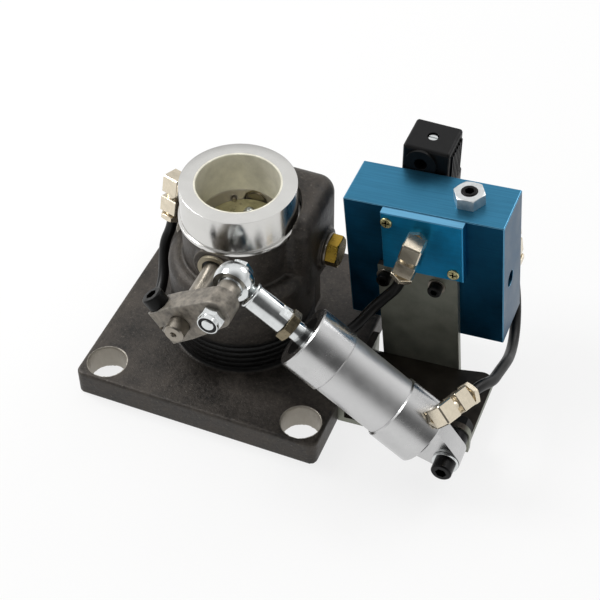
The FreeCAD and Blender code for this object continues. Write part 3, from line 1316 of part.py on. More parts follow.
# Hoses: straight runs joined by tangent arcs
def hose(name, start, middle, finish, leads):
    """A tube from one nut's mouth to the other; each arc is as large as its two runs allow."""
    points = [start[0], start[0] + start[1] * leads[0]] + [Vector(*p) for p in middle]
    points += [finish[0] + finish[1] * leads[1], finish[0]]
    edges = []
    radii = []
    last = points[0]
    for k in range(1, len(points) - 1):
        back = points[k - 1] - points[k]
        ahead = points[k + 1] - points[k]
        turn = math.pi - back.getAngle(ahead)
        trim = HOSE_ARC_SHARE * min(back.Length, ahead.Length)
        radius = trim / math.tan(turn / 2)
        radii.append(radius)
        enter = points[k] + back.normalize() * trim
        leave = points[k] + ahead.normalize() * trim
        middle_way = (back + ahead).normalize()
        crown = points[k] + middle_way * (radius / math.cos(turn / 2) - radius)
        edges.append(Part.LineSegment(last, enter).toShape())
        edges.append(Part.Arc(enter, crown, leave).toShape())
        last = leave
    edges.append(Part.LineSegment(last, points[-1]).toShape())
    path = Part.Wire(edges)
    section = Part.Wire(Part.makeCircle(HOSE_D / 2, points[0], start[1]))
    tube = path.makePipeShell([section], True, False)
    area = math.pi * (HOSE_D / 2) ** 2
    runs = [round((b - a).Length, 1) for a, b in zip(points, points[1:])]
    print(name, "radii", [round(r, 1) for r in radii], "runs", runs)
    print(name, "length", round(path.Length, 1), "volume ratio", round(tube.Volume / area / path.Length, 4))
    print(name, "points", [tuple(round(c, 2) for c in p) for p in points])
    return tube


def main():
    parts = {
        "valve_body": valve_body(),
        "brass_plug": brass_plug(),
        "plug_washer": plug_washer(),
        "inlet_collar": inlet_collar(),
        "collar_seal": collar_seal(),
        "front_shaft_bush": front_shaft_bush(),
        "shaft_seal": shaft_seal(),
        "rear_shaft_bush": rear_shaft_bush(),
        "thrust_washer": thrust_washer(),
        "shaft_circlip": shaft_circlip(),
        "shaft_end_cap": shaft_end_cap(),
        "disc_stop_pin": stop_pin(),
        "butterfly_shaft": butterfly_shaft(),
        "butterfly_disc": butterfly_disc(),
        "disc_screws": disc_screws(),
        "lever": lever(),
        "lever_clamp_screw": lever_clamp_screw(),
        "pivot_bolt": pivot_bolt(),
        "pivot_spacer": pivot_spacer(),
        "nyloc_nut": nyloc_nut(),
        "rod_end_ball": rod_end_ball(),
        "rod_end": rod_end(),
        "jam_nut": jam_nut(),
        "piston_rod": piston_rod(),
        "piston": piston(),
        "piston_seal": piston_seal(),
        "cylinder_front_cap": cylinder_front_cap(),
        "rod_wiper": rod_wiper(),
        "rod_gland": rod_gland(),
        "cylinder_tube": cylinder_tube(),
        "cylinder_rear_cap": cylinder_rear_cap(),
        "tail_screw": tail_screw(),
        "tail_washer": tail_washer(),
        "tail_spacer": tail_spacer(),
        "tail_nut": tail_nut(),
        "valve_block": valve_block(),
        "front_plate": front_plate(),
        "plate_screws": plate_screws(),
        "adjuster_screw": adjuster_screw(),
        "lock_nut": lock_nut(),
        "bracket": bracket(),
        "bracket_screws": bracket_screws(),
        "block_screws": block_screws(),
        "block_screw_washers": block_screw_washers(),
        "solenoid_stem": solenoid_stem(),
        "solenoid_coil": solenoid_coil(),
        "solenoid_nut": solenoid_nut(),
        "connector_gasket": connector_gasket(),
        "plug_connector": plug_connector(),
        "connector_screw": connector_screw(),
        "foot_nipple": foot_nipple(),
        "cylinder_elbows": elbow_group(CYLINDER_ELBOWS),
        "cylinder_hose_nuts": nut_group(CYLINDER_ELBOWS),
        "fixed_elbows": elbow_group(FIXED_ELBOWS),
        "fixed_hose_nuts": nut_group(FIXED_ELBOWS),
        "signal_hose": hose("signal_hose", outlet_end(ELBOWS["plate_elbow"]), SIGNAL_HOSE_MID,
                            outlet_end(ELBOWS["front_cap_elbow"], CYLINDER_HOSE_GAP), SIGNAL_HOSE_LEADS),
        "feed_hose": hose("feed_hose", outlet_end(ELBOWS["rear_cap_elbow"], CYLINDER_HOSE_GAP), FEED_HOSE_MID,
                          outlet_end(ELBOWS["back_elbow"]), FEED_HOSE_LEADS),
        "breather_hose": hose("breather_hose", outlet_end(ELBOWS["neck_elbow"]), BREATHER_HOSE_MID,
                              nipple_end(), BREATHER_HOSE_LEADS),
    }
    os.makedirs("parts", exist_ok=True)
    for name, shape in parts.items():
        shape.exportStep("parts/" + name + ".step")


main()
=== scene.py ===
import json
import math

import bpy
from mathutils import Matrix, Vector


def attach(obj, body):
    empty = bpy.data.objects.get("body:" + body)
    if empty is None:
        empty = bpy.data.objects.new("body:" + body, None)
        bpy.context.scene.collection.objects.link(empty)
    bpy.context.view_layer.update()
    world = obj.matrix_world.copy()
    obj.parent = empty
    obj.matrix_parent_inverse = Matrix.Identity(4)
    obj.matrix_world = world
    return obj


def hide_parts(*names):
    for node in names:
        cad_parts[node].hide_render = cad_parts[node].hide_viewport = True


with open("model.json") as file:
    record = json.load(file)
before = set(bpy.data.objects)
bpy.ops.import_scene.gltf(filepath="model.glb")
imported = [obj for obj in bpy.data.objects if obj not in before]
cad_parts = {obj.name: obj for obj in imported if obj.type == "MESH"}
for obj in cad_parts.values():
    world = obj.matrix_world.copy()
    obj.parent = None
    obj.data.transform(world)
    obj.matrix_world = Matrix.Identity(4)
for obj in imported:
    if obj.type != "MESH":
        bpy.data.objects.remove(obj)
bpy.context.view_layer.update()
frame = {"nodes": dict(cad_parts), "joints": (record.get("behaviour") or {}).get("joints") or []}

bl_info = {
    "name": "Air compressor intake valve",
    "version": (1, 0, 0),
    "blender": (4, 5, 0),
    "location": "View3D > Sidebar > Intake valve",
    "description": "Finishes, hoses and fine parts for the intake valve's solids",
    "category": "Object",
}

MM = 0.001
RIGHT = Vector((1, 0, 0))
FORWARD = Vector((0, -1, 0))
UP = Vector((0, 0, 1))

# The centre of the rod end's ball, the way that the cylinder runs from it, and a point on the shaft's axis
JOINTS = {joint["name"]: joint for joint in frame["joints"]}
BALL = Vector(JOINTS["rod_swivel"]["pos_m"])
ALONG = Vector(JOINTS["cylinder_slide"]["axis"])
SHAFT = Vector(JOINTS["shaft_turn"]["pos_m"])

# The control block leans to the left. Its corner is the top front left one.
BLOCK_LEAN = math.radians(5)
BLOCK_UP = Vector((-math.sin(BLOCK_LEAN), 0, math.cos(BLOCK_LEAN)))
BLOCK_CORNER = Vector((0.0573, 0.021, 0.124))

# Lines that tool marks run round or across: a point and a direction
AXES = {
    "throat": (Vector((0, 0, 0)), UP),
    "shaft": (SHAFT, FORWARD),
    "pivot": (BALL, FORWARD),
    "cylinder": (BALL, ALONG),
    "block": (BLOCK_CORNER, BLOCK_UP),
}

# The camera stands where the photograph was taken from. Places are in metres, angles in radians.
CAMERA_PLACE = (0.27973, -0.58262, 0.713995)
CAMERA_YAW = 0.394
CAMERA_PITCH = -0.811
CAMERA_ROLL = -0.011
CAMERA_FOCAL_PIXELS = 1486.35
CAMERA_SHIFT = 0.002
PICTURE_PIXELS = 600
SENSOR_MM = 36.0

# The studio: how much of the paper shows as plain white, the side that is left unlit, and the light's level
# at each height, at each nearness to the unlit side, and at the horizon, where that side is lit after all
FLOOR_HALF = 12.0
WHITE_SHARE = 0.8
UNLIT_SIDE = Vector((0.25, -0.64, 0.73)).normalized()
WORLD_STRENGTH = 1.0
HEIGHT_LEVELS = ((0.0, 0.9), (0.12, 0.85), (0.3, 0.6), (0.52, 0.95), (0.7, 1.0))
UNLIT_LEVELS = ((0.45, 1.0), (0.7, 0.55), (0.87, 0.14), (1.0, 0.1))
HORIZON_LEVELS = ((0.06, 1.0), (0.22, 0.0))
LAMPS_AIM = (0.04, 0.0, 0.06)
THROAT_AIM = (0.0, 0.01, 0.11)
SOFTBOX_SIZE = 0.5


def linear(hex_colour):
    """An sRGB hex colour as linear red, green and blue."""
    values = [int(hex_colour[k:k + 2], 16) / 255 for k in (0, 2, 4)]
    return tuple(v / 12.92 if v <= 0.04045 else ((v + 0.055) / 1.055) ** 2.4 for v in values)


def colour_property(name, hex_colour):
    """A colour that a user can change, given as sRGB hex."""
    return bpy.props.FloatVectorProperty(
        name=name, description="Colour of the " + name.lower(), subtype="COLOR", size=3, min=0, max=1,
        default=linear(hex_colour))


class ValveColours(bpy.types.PropertyGroup):
    """The colours of the valve's finishes."""

    cast_iron: colour_property("Cast iron", "47413b")
    lever_iron: colour_property("Lever iron", "968f84")
    machined_iron: colour_property("Machined iron", "b5afa4")
    # Painted shade on the rings of the casting's foot
    foot_shade: colour_property("Painted shade on the foot", "050505")
    disc_steel: colour_property("Butterfly disc", "a39c74")
    aluminium: colour_property("Turned aluminium", "d6d5d2")
    bore: colour_property("Collar bore", "dbd8c8")
    cap: colour_property("Cylinder caps", "cbcbcb")
    tube: colour_property("Cylinder tube", "d2d2d2")
    # The block's top colour is painted light, and its sides' deeper blue is painted shade
    blue: colour_property("Blue block sides", "0d4a6a")
    blue_lit_top: colour_property("Blue block top, painted light", "3c80a2")
    blue_plate: colour_property("Blue plate", "108bc0")
    # Painted highlight on the plate's top and on the rounded edges of the block and plate
    blue_highlight: colour_property("Painted highlight on the blue", "6fb0d4")
    blue_streak: colour_property("Brushed streaks in the blue", "001927")
    zinc: colour_property("Bright zinc", "dfe2e2")
    yellow_zinc: colour_property("Yellow zinc", "d6cf9c")
    stained_zinc: colour_property("Stained yellow zinc", "8d826b")
    steel: colour_property("Bare steel", "a29b90")
    black_oxide: colour_property("Black oxide", "121212")
    brass: colour_property("Brass", "b9983f")
    nickel: colour_property("Nickel plating", "e6dbc6")
    bronze: colour_property("Bronze", "a59c88")
    bracket: colour_property("Bracket steel", "909286")
    # Painted shade on the bracket where it lies flat
    bracket_flat_shade: colour_property("Bracket foot, painted shade", "47413b")
    rubber: colour_property("Rubber", "050505")
    plastic: colour_property("Connector plastic", "0e0e0f")
    floor: colour_property("Floor", "f4f4f3")


class ValveSizes(bpy.types.PropertyGroup):
    """Sizes that a user might change."""

    edge_round: bpy.props.FloatProperty(
        name="Edge round", description="Width of the small round on machined edges", default=0.25 * MM,
        min=0.05 * MM, max=1.0 * MM, unit="LENGTH")
    hose_diameter: bpy.props.FloatProperty(
        name="Hose diameter", description="Outside diameter of the rubber hoses", default=6.8 * MM,
        min=4 * MM, max=10 * MM, unit="LENGTH")
    cast_voxel: bpy.props.FloatProperty(
        name="Casting blend", description="How coarsely the casting's corners are blended", default=0.75 * MM,
        min=0.6 * MM, max=3 * MM, unit="LENGTH")


# Nodes
MATH = "ShaderNodeMath"
VECTOR_MATH = "ShaderNodeVectorMath"
NOISE = "ShaderNodeTexNoise"
RANGE = "ShaderNodeMapRange"
RAMP = "ShaderNodeValToRGB"
BUMP = "ShaderNodeBump"
SEPARATE = "ShaderNodeSeparateXYZ"
MIX = "ShaderNodeMix"
COLOURS = {"data_type": "RGBA"}
# The colour sockets of the mix node, which has sockets of the same names for its other modes
FIRST, SECOND, MIXED = 6, 7, 2


def set_stops(elements, stops):
    """Gives a colour ramp its stops, each a position and a colour."""
    elements.remove(elements[1])
    elements[0].position, elements[0].color = stops[0]
    for position, colour in stops[1:]:
        elements.new(position).color = colour


def feed(tree, node, inputs):
    """Fills a node's inputs: each takes a value, a socket to join, or a node for its first output."""
    for name, value in inputs.items():
        if isinstance(value, bpy.types.Node):
            value = value.outputs[0]
        if isinstance(value, bpy.types.NodeSocket):
            tree.links.new(value, node.inputs[name])
        else:
            node.inputs[name].default_value = value


def add_node(tree, kind, settings=None, inputs=None):
    """Adds a node with its settings and what goes into it."""
    node = tree.nodes.new(kind)
    for name, value in (settings or {}).items():
        if name == "stops":
            set_stops(node.color_ramp.elements, value)
        else:
            setattr(node, name, value)
    feed(tree, node, inputs or {})
    return node


def new_material(name):
    """A material with its node tree and its shader."""
    material = bpy.data.materials.new(name)
    material.use_nodes = True
    return material, material.node_tree, material.node_tree.nodes["Principled BSDF"]


# Masks and patterns. Lengths given to them are in millimetres.
def local_place(tree, axis):
    """The object's coordinates, and the same turned so that their Z runs along the axis."""
    origin, direction = AXES[axis]
    coords = add_node(tree, "ShaderNodeTexCoord")
    place = add_node(tree, "ShaderNodeMapping", {"vector_type": "TEXTURE"},
                     {"Vector": coords.outputs["Object"], "Location": origin,
                      "Rotation": direction.to_track_quat("Z", "Y").to_euler()})
    return coords, place


def flat_length(tree, x, y):
    """The length of a flat vector from its two parts."""
    flat = add_node(tree, "ShaderNodeCombineXYZ", None, {"X": x, "Y": y})
    return add_node(tree, VECTOR_MATH, {"operation": "LENGTH"}, {0: flat}).outputs["Value"]


def ring_distance(tree, place):
    """The parts of the local place, and its distance from the local Z axis."""
    parts = add_node(tree, SEPARATE, None, {"Vector": place})
    return parts, flat_length(tree, parts.outputs["X"], parts.outputs["Y"])


def below_level(tree, value, level, soften):
    """One where the value is under the level, nought above it."""
    return add_node(tree, RANGE, None,
                    {"Value": value, "From Min": (level - soften) * MM, "From Max": (level + soften) * MM,
                     "To Min": 1.0, "To Max": 0.0})


def two_shades(tree, source, colour, dark, low=0.3, high=0.7):
    """Goes from a darker shade of the colour to the colour itself as the source rises."""
    shade = [part * dark for part in colour]
    return add_node(tree, RAMP, {"stops": ((low, (*shade, 1)), (high, (*colour, 1)))}, {"Fac": source})


def turned_marks(tree, place, pitch):
    """Uneven rings about the axis, placed by the distance from it plus the distance along it."""
    parts, radius = ring_distance(tree, place)
    total = add_node(tree, MATH, {"operation": "ADD"}, {0: radius, 1: parts.outputs["Z"]})
    return add_node(tree, NOISE, {"noise_dimensions": "1D"},
                    {"W": total, "Scale": 1 / (pitch * MM), "Detail": 2.0})


def brushed_marks(tree, place, pitch):
    """Straight lines along the local Y axis, forty times as long as they are wide."""
    stretch = add_node(tree, "ShaderNodeMapping", None, {"Vector": place, "Scale": (1, 1 / 40, 1)})
    return add_node(tree, NOISE, None, {"Vector": stretch, "Scale": 1 / (pitch * MM), "Detail": 2.0})


# The plate screws' centres, and where their cross recesses lie
PLATE_SCREWS_AT = ((86.45, 118.92), (129.27, 91.95))
RECESS_RADIUS = 2.4
RECESS_FROM_Y = 14.75


def recess_shade(tree, coords, centres):
    """One inside the screws' cross recesses, where shade is painted."""
    parts = add_node(tree, SEPARATE, None, {"Vector": coords.outputs["Object"]})
    nearest = 1.0
    for x, z in centres:
        aside = add_node(tree, MATH, {"operation": "SUBTRACT"}, {0: parts.outputs["X"], 1: x * MM})
        above = add_node(tree, MATH, {"operation": "SUBTRACT"}, {0: parts.outputs["Z"], 1: z * MM})
        distance = flat_length(tree, aside, above)
        nearest = add_node(tree, MATH, {"operation": "MINIMUM"}, {0: distance, 1: nearest})
    outside = below_level(tree, parts.outputs["Y"], RECESS_FROM_Y, 0.15)
    deep = add_node(tree, MATH, {"operation": "SUBTRACT"}, {0: 1.0, 1: outside})
    near = below_level(tree, nearest, RECESS_RADIUS, 0.1)
    return add_node(tree, MATH, {"operation": "MULTIPLY"}, {0: deep, 1: near})


# What a finish has unless its own row says otherwise. Lengths are in millimetres: blotch is the size of the
# cloudy patches, grain and depth are the fine skin, pitch and mark_depth are the tool marks. Real feed lines
# and brush lines are 0.1 to 0.2 mm apart, too fine for the picture, so the pitches are two to four times
# that.
PLAIN_FINISH = {
    "dark": 0.8, "metallic": 1.0, "smooth": 0.2, "rough": 0.3, "specular": 0.5, "blotch": 6.0, "grain": 0.6,
    "depth": 0.004, "marks": None, "pitch": 0.5, "mark_depth": 0.0, "upper": None, "upper_dark": 1.0,
    "streaks": 0.0, "recesses": (), "edges": None, "bore_radius": 0}

FINISHES = {
    # Fettled grey iron: lighter and smoother than a cast skin, half metallic, brighter on sharp edges
    "fettled_grey_iron": {"colour": "lever_iron", "dark": 0.3, "metallic": 0.5, "smooth": 0.36, "rough": 0.55,
                          "blotch": 4.0, "grain": 1.1, "depth": 0.16, "edges": "zinc"},
    # Lathe-turned aluminium: bright, its fine rings draw reflections out; the bore is yellowed by oil mist
    "turned_aluminium": {"colour": "aluminium", "dark": 0.94, "smooth": 0.14, "rough": 0.22, "blotch": 9.0,
                         "depth": 0.002, "marks": "turned", "mark_depth": 0.01, "bore_radius": 26.2},
    # Satin polished aluminium: bright with soft rings
    "satin_aluminium": {"colour": "cap", "dark": 0.9, "smooth": 0.2, "rough": 0.28, "blotch": 8.0,
                        "depth": 0.002, "marks": "turned", "pitch": 0.35, "mark_depth": 0.002},
    # Matt drawn tube: grey, with very fine lines round it
    "drawn_tube": {"colour": "tube", "dark": 0.9, "smooth": 0.36, "rough": 0.44, "blotch": 12.0,
                   "marks": "turned", "pitch": 0.3, "mark_depth": 0.003},
    # Blue anodised aluminium: dyed oxide with brush marks; its top is painted light and its sides painted
    # shade
    "blue_anodised": {"colour": "blue", "dark": 0.6, "metallic": 0.95, "smooth": 0.32, "rough": 0.42,
                      "blotch": 26.0, "depth": 0.002, "marks": "brushed", "pitch": 0.35, "mark_depth": 0.006,
                      "upper": "blue_lit_top", "upper_dark": 0.9, "streaks": 0.16},
    # The same dye on the thinner plate, one shade lighter, with a painted highlight on its top
    "blue_anodised_plate": {"colour": "blue_plate", "dark": 0.6, "metallic": 0.85, "smooth": 0.28,
                            "rough": 0.4, "blotch": 22.0, "depth": 0.002, "marks": "brushed", "pitch": 0.35,
                            "mark_depth": 0.006, "upper": "blue_highlight", "upper_dark": 0.95, "streaks": 0.12},
    # Painted highlight along the rounded edges of the blue block and plate: a pale line
    "rubbed_blue": {"colour": "blue_highlight", "dark": 0.9, "metallic": 0.9, "smooth": 0.3, "rough": 0.4},
    # Bright zinc plate: cool, mirror-like but faintly cloudy
    "bright_zinc": {"colour": "zinc", "dark": 0.85, "smooth": 0.1, "rough": 0.2, "blotch": 5.0, "grain": 0.8},
    # Dull zinc plate: cool grey, broad soft highlights
    "dull_zinc": {"colour": "zinc", "dark": 0.75, "metallic": 0.85, "smooth": 0.3, "rough": 0.42,
                  "blotch": 4.0},
    # Yellow passivated zinc: pale gold with greenish patches, and painted shade in the cross recesses
    "yellow_zinc": {"colour": "yellow_zinc", "dark": 0.7, "smooth": 0.2, "rough": 0.32, "blotch": 2.0,
                    "grain": 0.8, "recesses": PLATE_SCREWS_AT},
    # Yellow zinc stained by oil: dull bronze-grey
    "stained_yellow_zinc": {"colour": "stained_zinc", "dark": 0.55, "smooth": 0.22, "rough": 0.36,
                            "blotch": 3.0, "grain": 0.8},
    # Ground steel: grey-brown, with rings from grinding
    "ground_steel": {"colour": "steel", "dark": 0.7, "smooth": 0.28, "rough": 0.42, "marks": "turned",
                     "pitch": 0.4, "mark_depth": 0.004},
    # Oiled steel sheet: olive, half dulled by the oil
    "oiled_sheet_steel": {"colour": "disc_steel", "dark": 0.5, "metallic": 0.4, "smooth": 0.25, "rough": 0.4,
                          "blotch": 7.0},
    # Black oxide on alloy steel: near black with an oily sheen
    "black_oxide": {"colour": "black_oxide", "dark": 0.6, "metallic": 0.5, "smooth": 0.3, "rough": 0.45,
                    "blotch": 3.0, "depth": 0.008, "specular": 0.3},
    # Bare machined brass: warm, satin
    "machined_brass": {"colour": "brass", "dark": 0.62, "smooth": 0.22, "rough": 0.36, "blotch": 5.0,
                       "depth": 0.006},
    # Nickel plate over brass: pale, warm and bright
    "nickel_plate": {"colour": "nickel", "dark": 0.85, "metallic": 0.92, "smooth": 0.16, "rough": 0.26,
                     "blotch": 4.0, "depth": 0.005},
    # Sintered bronze: dull yellow-grey
    "sintered_bronze": {"colour": "bronze", "dark": 0.75, "metallic": 0.9, "smooth": 0.4, "rough": 0.55,
                        "blotch": 3.0, "depth": 0.01},
    # Dark plated sheet steel: satin with faint mill marks; darker and browner where it lies flat, which is
    # painted shade
    "plated_sheet_steel": {"colour": "bracket", "dark": 0.7, "metallic": 0.75, "smooth": 0.34, "rough": 0.5,
                           "blotch": 12.0, "grain": 0.8, "depth": 0.02, "marks": "brushed", "pitch": 0.8,
                           "mark_depth": 0.008, "upper": "bracket_flat_shade", "upper_dark": 0.6},
    # Extruded rubber: smooth black with a soft sheen
    "extruded_rubber": {"colour": "rubber", "dark": 0.7, "metallic": 0.0, "smooth": 0.34, "rough": 0.46,
                        "blotch": 8.0, "depth": 0.01, "specular": 0.3},
    # Moulded glass-filled nylon: black, with a fine spark-eroded grain
    "moulded_nylon": {"colour": "plastic", "dark": 0.75, "metallic": 0.0, "smooth": 0.42, "rough": 0.55,
                      "blotch": 8.0, "grain": 0.5, "depth": 0.03, "specular": 0.2},
}

# Most of a noise lies between these
NOISE_LOW, NOISE_HIGH = 0.35, 0.65
# Streaks are this many times as wide as the brush lines
STREAK_WIDTH = 3


def finish_colour(tree, look, axis, coords, place, blotches):
    """A finish's colour: cloudy, with what its row adds: painted light and shade on upward faces, streaks,
    painted shade in recesses, and lighter edges.
    """
    colours = bpy.context.scene.valve_colours
    colour = two_shades(tree, blotches, getattr(colours, look["colour"]), look["dark"])
    # Painted light and shade: faces that look up along the axis take the upward colour
    if look["upper"]:
        upper = two_shades(tree, blotches, getattr(colours, look["upper"]), look["upper_dark"])
        facing = add_node(tree, VECTOR_MATH, {"operation": "DOT_PRODUCT"},
                          {0: coords.outputs["Normal"], 1: AXES[axis][1]})
        flat = add_node(tree, RANGE, None,
                        {"Value": facing.outputs["Value"], "From Min": 0.55, "From Max": 0.85})
        colour = add_node(tree, MIX, COLOURS, {"Factor": flat, FIRST: colour, SECOND: upper}).outputs[MIXED]
    if look["streaks"]:
        lines = brushed_marks(tree, place, look["pitch"] * STREAK_WIDTH)
        shade = add_node(tree, RANGE, None,
                         {"Value": lines, "From Min": 0.4, "From Max": 0.7, "To Max": look["streaks"]})
        streak = (*colours.blue_streak, 1)
        colour = add_node(tree, MIX, COLOURS, {"Factor": shade, FIRST: colour, SECOND: streak}).outputs[MIXED]
    # Painted shade in the screws' cross recesses
    if look["recesses"]:
        deep = recess_shade(tree, coords, look["recesses"])
        recess_dark = two_shades(tree, blotches, colours.black_oxide, 0.5)
        colour = add_node(tree, MIX, COLOURS, {"Factor": deep, FIRST: colour, SECOND: recess_dark}).outputs[MIXED]
    # Lighter where the surface comes to a sharp edge
    if look["edges"]:
        geometry = add_node(tree, "ShaderNodeNewGeometry")
        lighter_edges = add_node(tree, RANGE, None, {"Value": geometry.outputs["Pointiness"], "From Min": 0.52,
                                              "From Max": 0.6, "To Max": 0.6})
        paler = two_shades(tree, blotches, getattr(colours, look["edges"]), 0.5)
        colour = add_node(tree, MIX, COLOURS, {"Factor": lighter_edges, FIRST: colour, SECOND: paler}).outputs[MIXED]
    return colour


def finish(name, axis="throat"):
    """The material of a finish, with tool marks about or across an axis."""
    label = name + "_" + axis
    if label in bpy.data.materials:
        return bpy.data.materials[label]
    look = {**PLAIN_FINISH, **FINISHES[name]}
    material, tree, shader = new_material(label)
    coords, place = local_place(tree, axis)
    blotches = add_node(tree, NOISE, None, {"Vector": place, "Scale": 1 / (look["blotch"] * MM),
                                            "Detail": 6.0, "Roughness": 0.62})
    colour = finish_colour(tree, look, axis, coords, place, blotches)
    gloss = add_node(tree, RANGE, None, {"Value": blotches, "From Min": NOISE_LOW, "From Max": NOISE_HIGH,
                                         "To Min": look["smooth"], "To Max": look["rough"]})
    skin = add_node(tree, NOISE, None, {"Vector": place, "Scale": 1 / (look["grain"] * MM), "Detail": 3.0})
    bump = add_node(tree, BUMP, None, {"Height": skin, "Strength": 1.0, "Distance": look["depth"] * MM})
    if look["marks"]:
        marks = {"turned": turned_marks, "brushed": brushed_marks}[look["marks"]](tree, place, look["pitch"])
        bump = add_node(tree, BUMP, None, {"Height": marks, "Strength": 1.0,
                                           "Distance": look["mark_depth"] * MM, "Normal": bump})
    feed(tree, shader, {"Base Color": colour, "Roughness": gloss, "Metallic": look["metallic"],
                        "Specular IOR Level": look["specular"], "Normal": bump})
    if look["bore_radius"]:
        yellow_bore(tree, shader, place, blotches, colour, gloss, look["bore_radius"])
    return material


def yellow_bore(tree, shader, place, blotches, colour, gloss, bore_radius):
    """Makes the inside of a bore yellowish, duller and less of a mirror."""
    colours = bpy.context.scene.valve_colours
    inside = below_level(tree, ring_distance(tree, place)[1], bore_radius, 0.2)
    oily = two_shades(tree, blotches, colours.bore, 0.75)
    base = add_node(tree, MIX, COLOURS, {"Factor": inside, FIRST: colour, SECOND: oily}).outputs[MIXED]
    duller = add_node(tree, MATH, {"operation": "MULTIPLY"}, {0: inside, 1: 0.2})
    roughness = add_node(tree, MATH, {"operation": "ADD"}, {0: gloss, 1: duller})
    film = add_node(tree, MATH, {"operation": "MULTIPLY"}, {0: inside, 1: 0.75})
    metallic = add_node(tree, MATH, {"operation": "SUBTRACT"}, {0: 1.0, 1: film})
    feed(tree, shader, {"Base Color": base, "Roughness": roughness, "Metallic": metallic})


# Where the casting is machined, and where its foot gets painted shade, in millimetres
BOLT_HOLE_AT = 65.0
BOLT_HOLE_RADIUS = 12.0
THROAT_RADIUS = 25.0
FOOT_TOP = 43.0
FOOT_RADIUS = 46.5
BASE_TOP = 18.0

# The casting's skin, in millimetres: oil clouds, the mould's mottle, sand grains and bright specks
CLOUD_SIZE = 22.0
MOTTLE_SIZE = 2.6
MOTTLE_DEPTH = 0.3
GRAIN_SIZE = 1.0
GRAIN_DEPTH = 0.12
SPECK_SIZE = 1.4


def cast_skin(tree, vector, tone, mottle):
    """The casting's dark skin, lighter at specks of sand and on sharp edges."""
    colours = bpy.context.scene.valve_colours
    skin = two_shades(tree, tone, colours.cast_iron, 0.22, 0.38, 0.62)
    specks = add_node(tree, NOISE, None, {"Vector": vector, "Scale": 1 / (SPECK_SIZE * MM), "Detail": 1.0})
    light = add_node(tree, RANGE, None, {"Value": specks, "From Min": 0.64, "From Max": 0.78, "To Max": 0.28})
    geometry = add_node(tree, "ShaderNodeNewGeometry")
    lighter_edges = add_node(tree, RANGE, None, {"Value": geometry.outputs["Pointiness"], "From Min": 0.515,
                                          "From Max": 0.58, "To Max": 0.55})
    lightened = add_node(tree, MATH, {"operation": "MAXIMUM"}, {0: lighter_edges, 1: light})
    paler = two_shades(tree, mottle, colours.lever_iron, 0.5)
    return add_node(tree, MIX, COLOURS, {"Factor": lightened, FIRST: skin, SECOND: paler}).outputs[MIXED]


def shaded_foot(tree, height, radius):
    """One on the rings at the barrel's foot, which get painted shade."""
    under_top = below_level(tree, height, FOOT_TOP, 1.5)
    within = below_level(tree, radius, FOOT_RADIUS, 0.6)
    ringed = add_node(tree, MATH, {"operation": "MULTIPLY"}, {0: under_top, 1: within})
    in_base = below_level(tree, height, BASE_TOP + 0.3, 0.3)
    over_base = add_node(tree, MATH, {"operation": "SUBTRACT"}, {0: 1.0, 1: in_base})
    return add_node(tree, MATH, {"operation": "MULTIPLY"}, {0: ringed, 1: over_base})


def machined_holes(tree, parts, radius):
    """One in the bolt holes and the throat, and on a thin rim round each."""
    sides = []
    for name in ("X", "Y"):
        side = add_node(tree, MATH, {"operation": "ABSOLUTE"}, {0: parts.outputs[name]})
        sides.append(add_node(tree, MATH, {"operation": "SUBTRACT"}, {0: side, 1: BOLT_HOLE_AT * MM}))
    bolt_hole = below_level(tree, flat_length(tree, *sides), BOLT_HOLE_RADIUS + 0.7, 0.25)
    throat = below_level(tree, radius, THROAT_RADIUS + 0.8, 0.3)
    return add_node(tree, MATH, {"operation": "MAXIMUM"}, {0: bolt_hole, 1: throat})


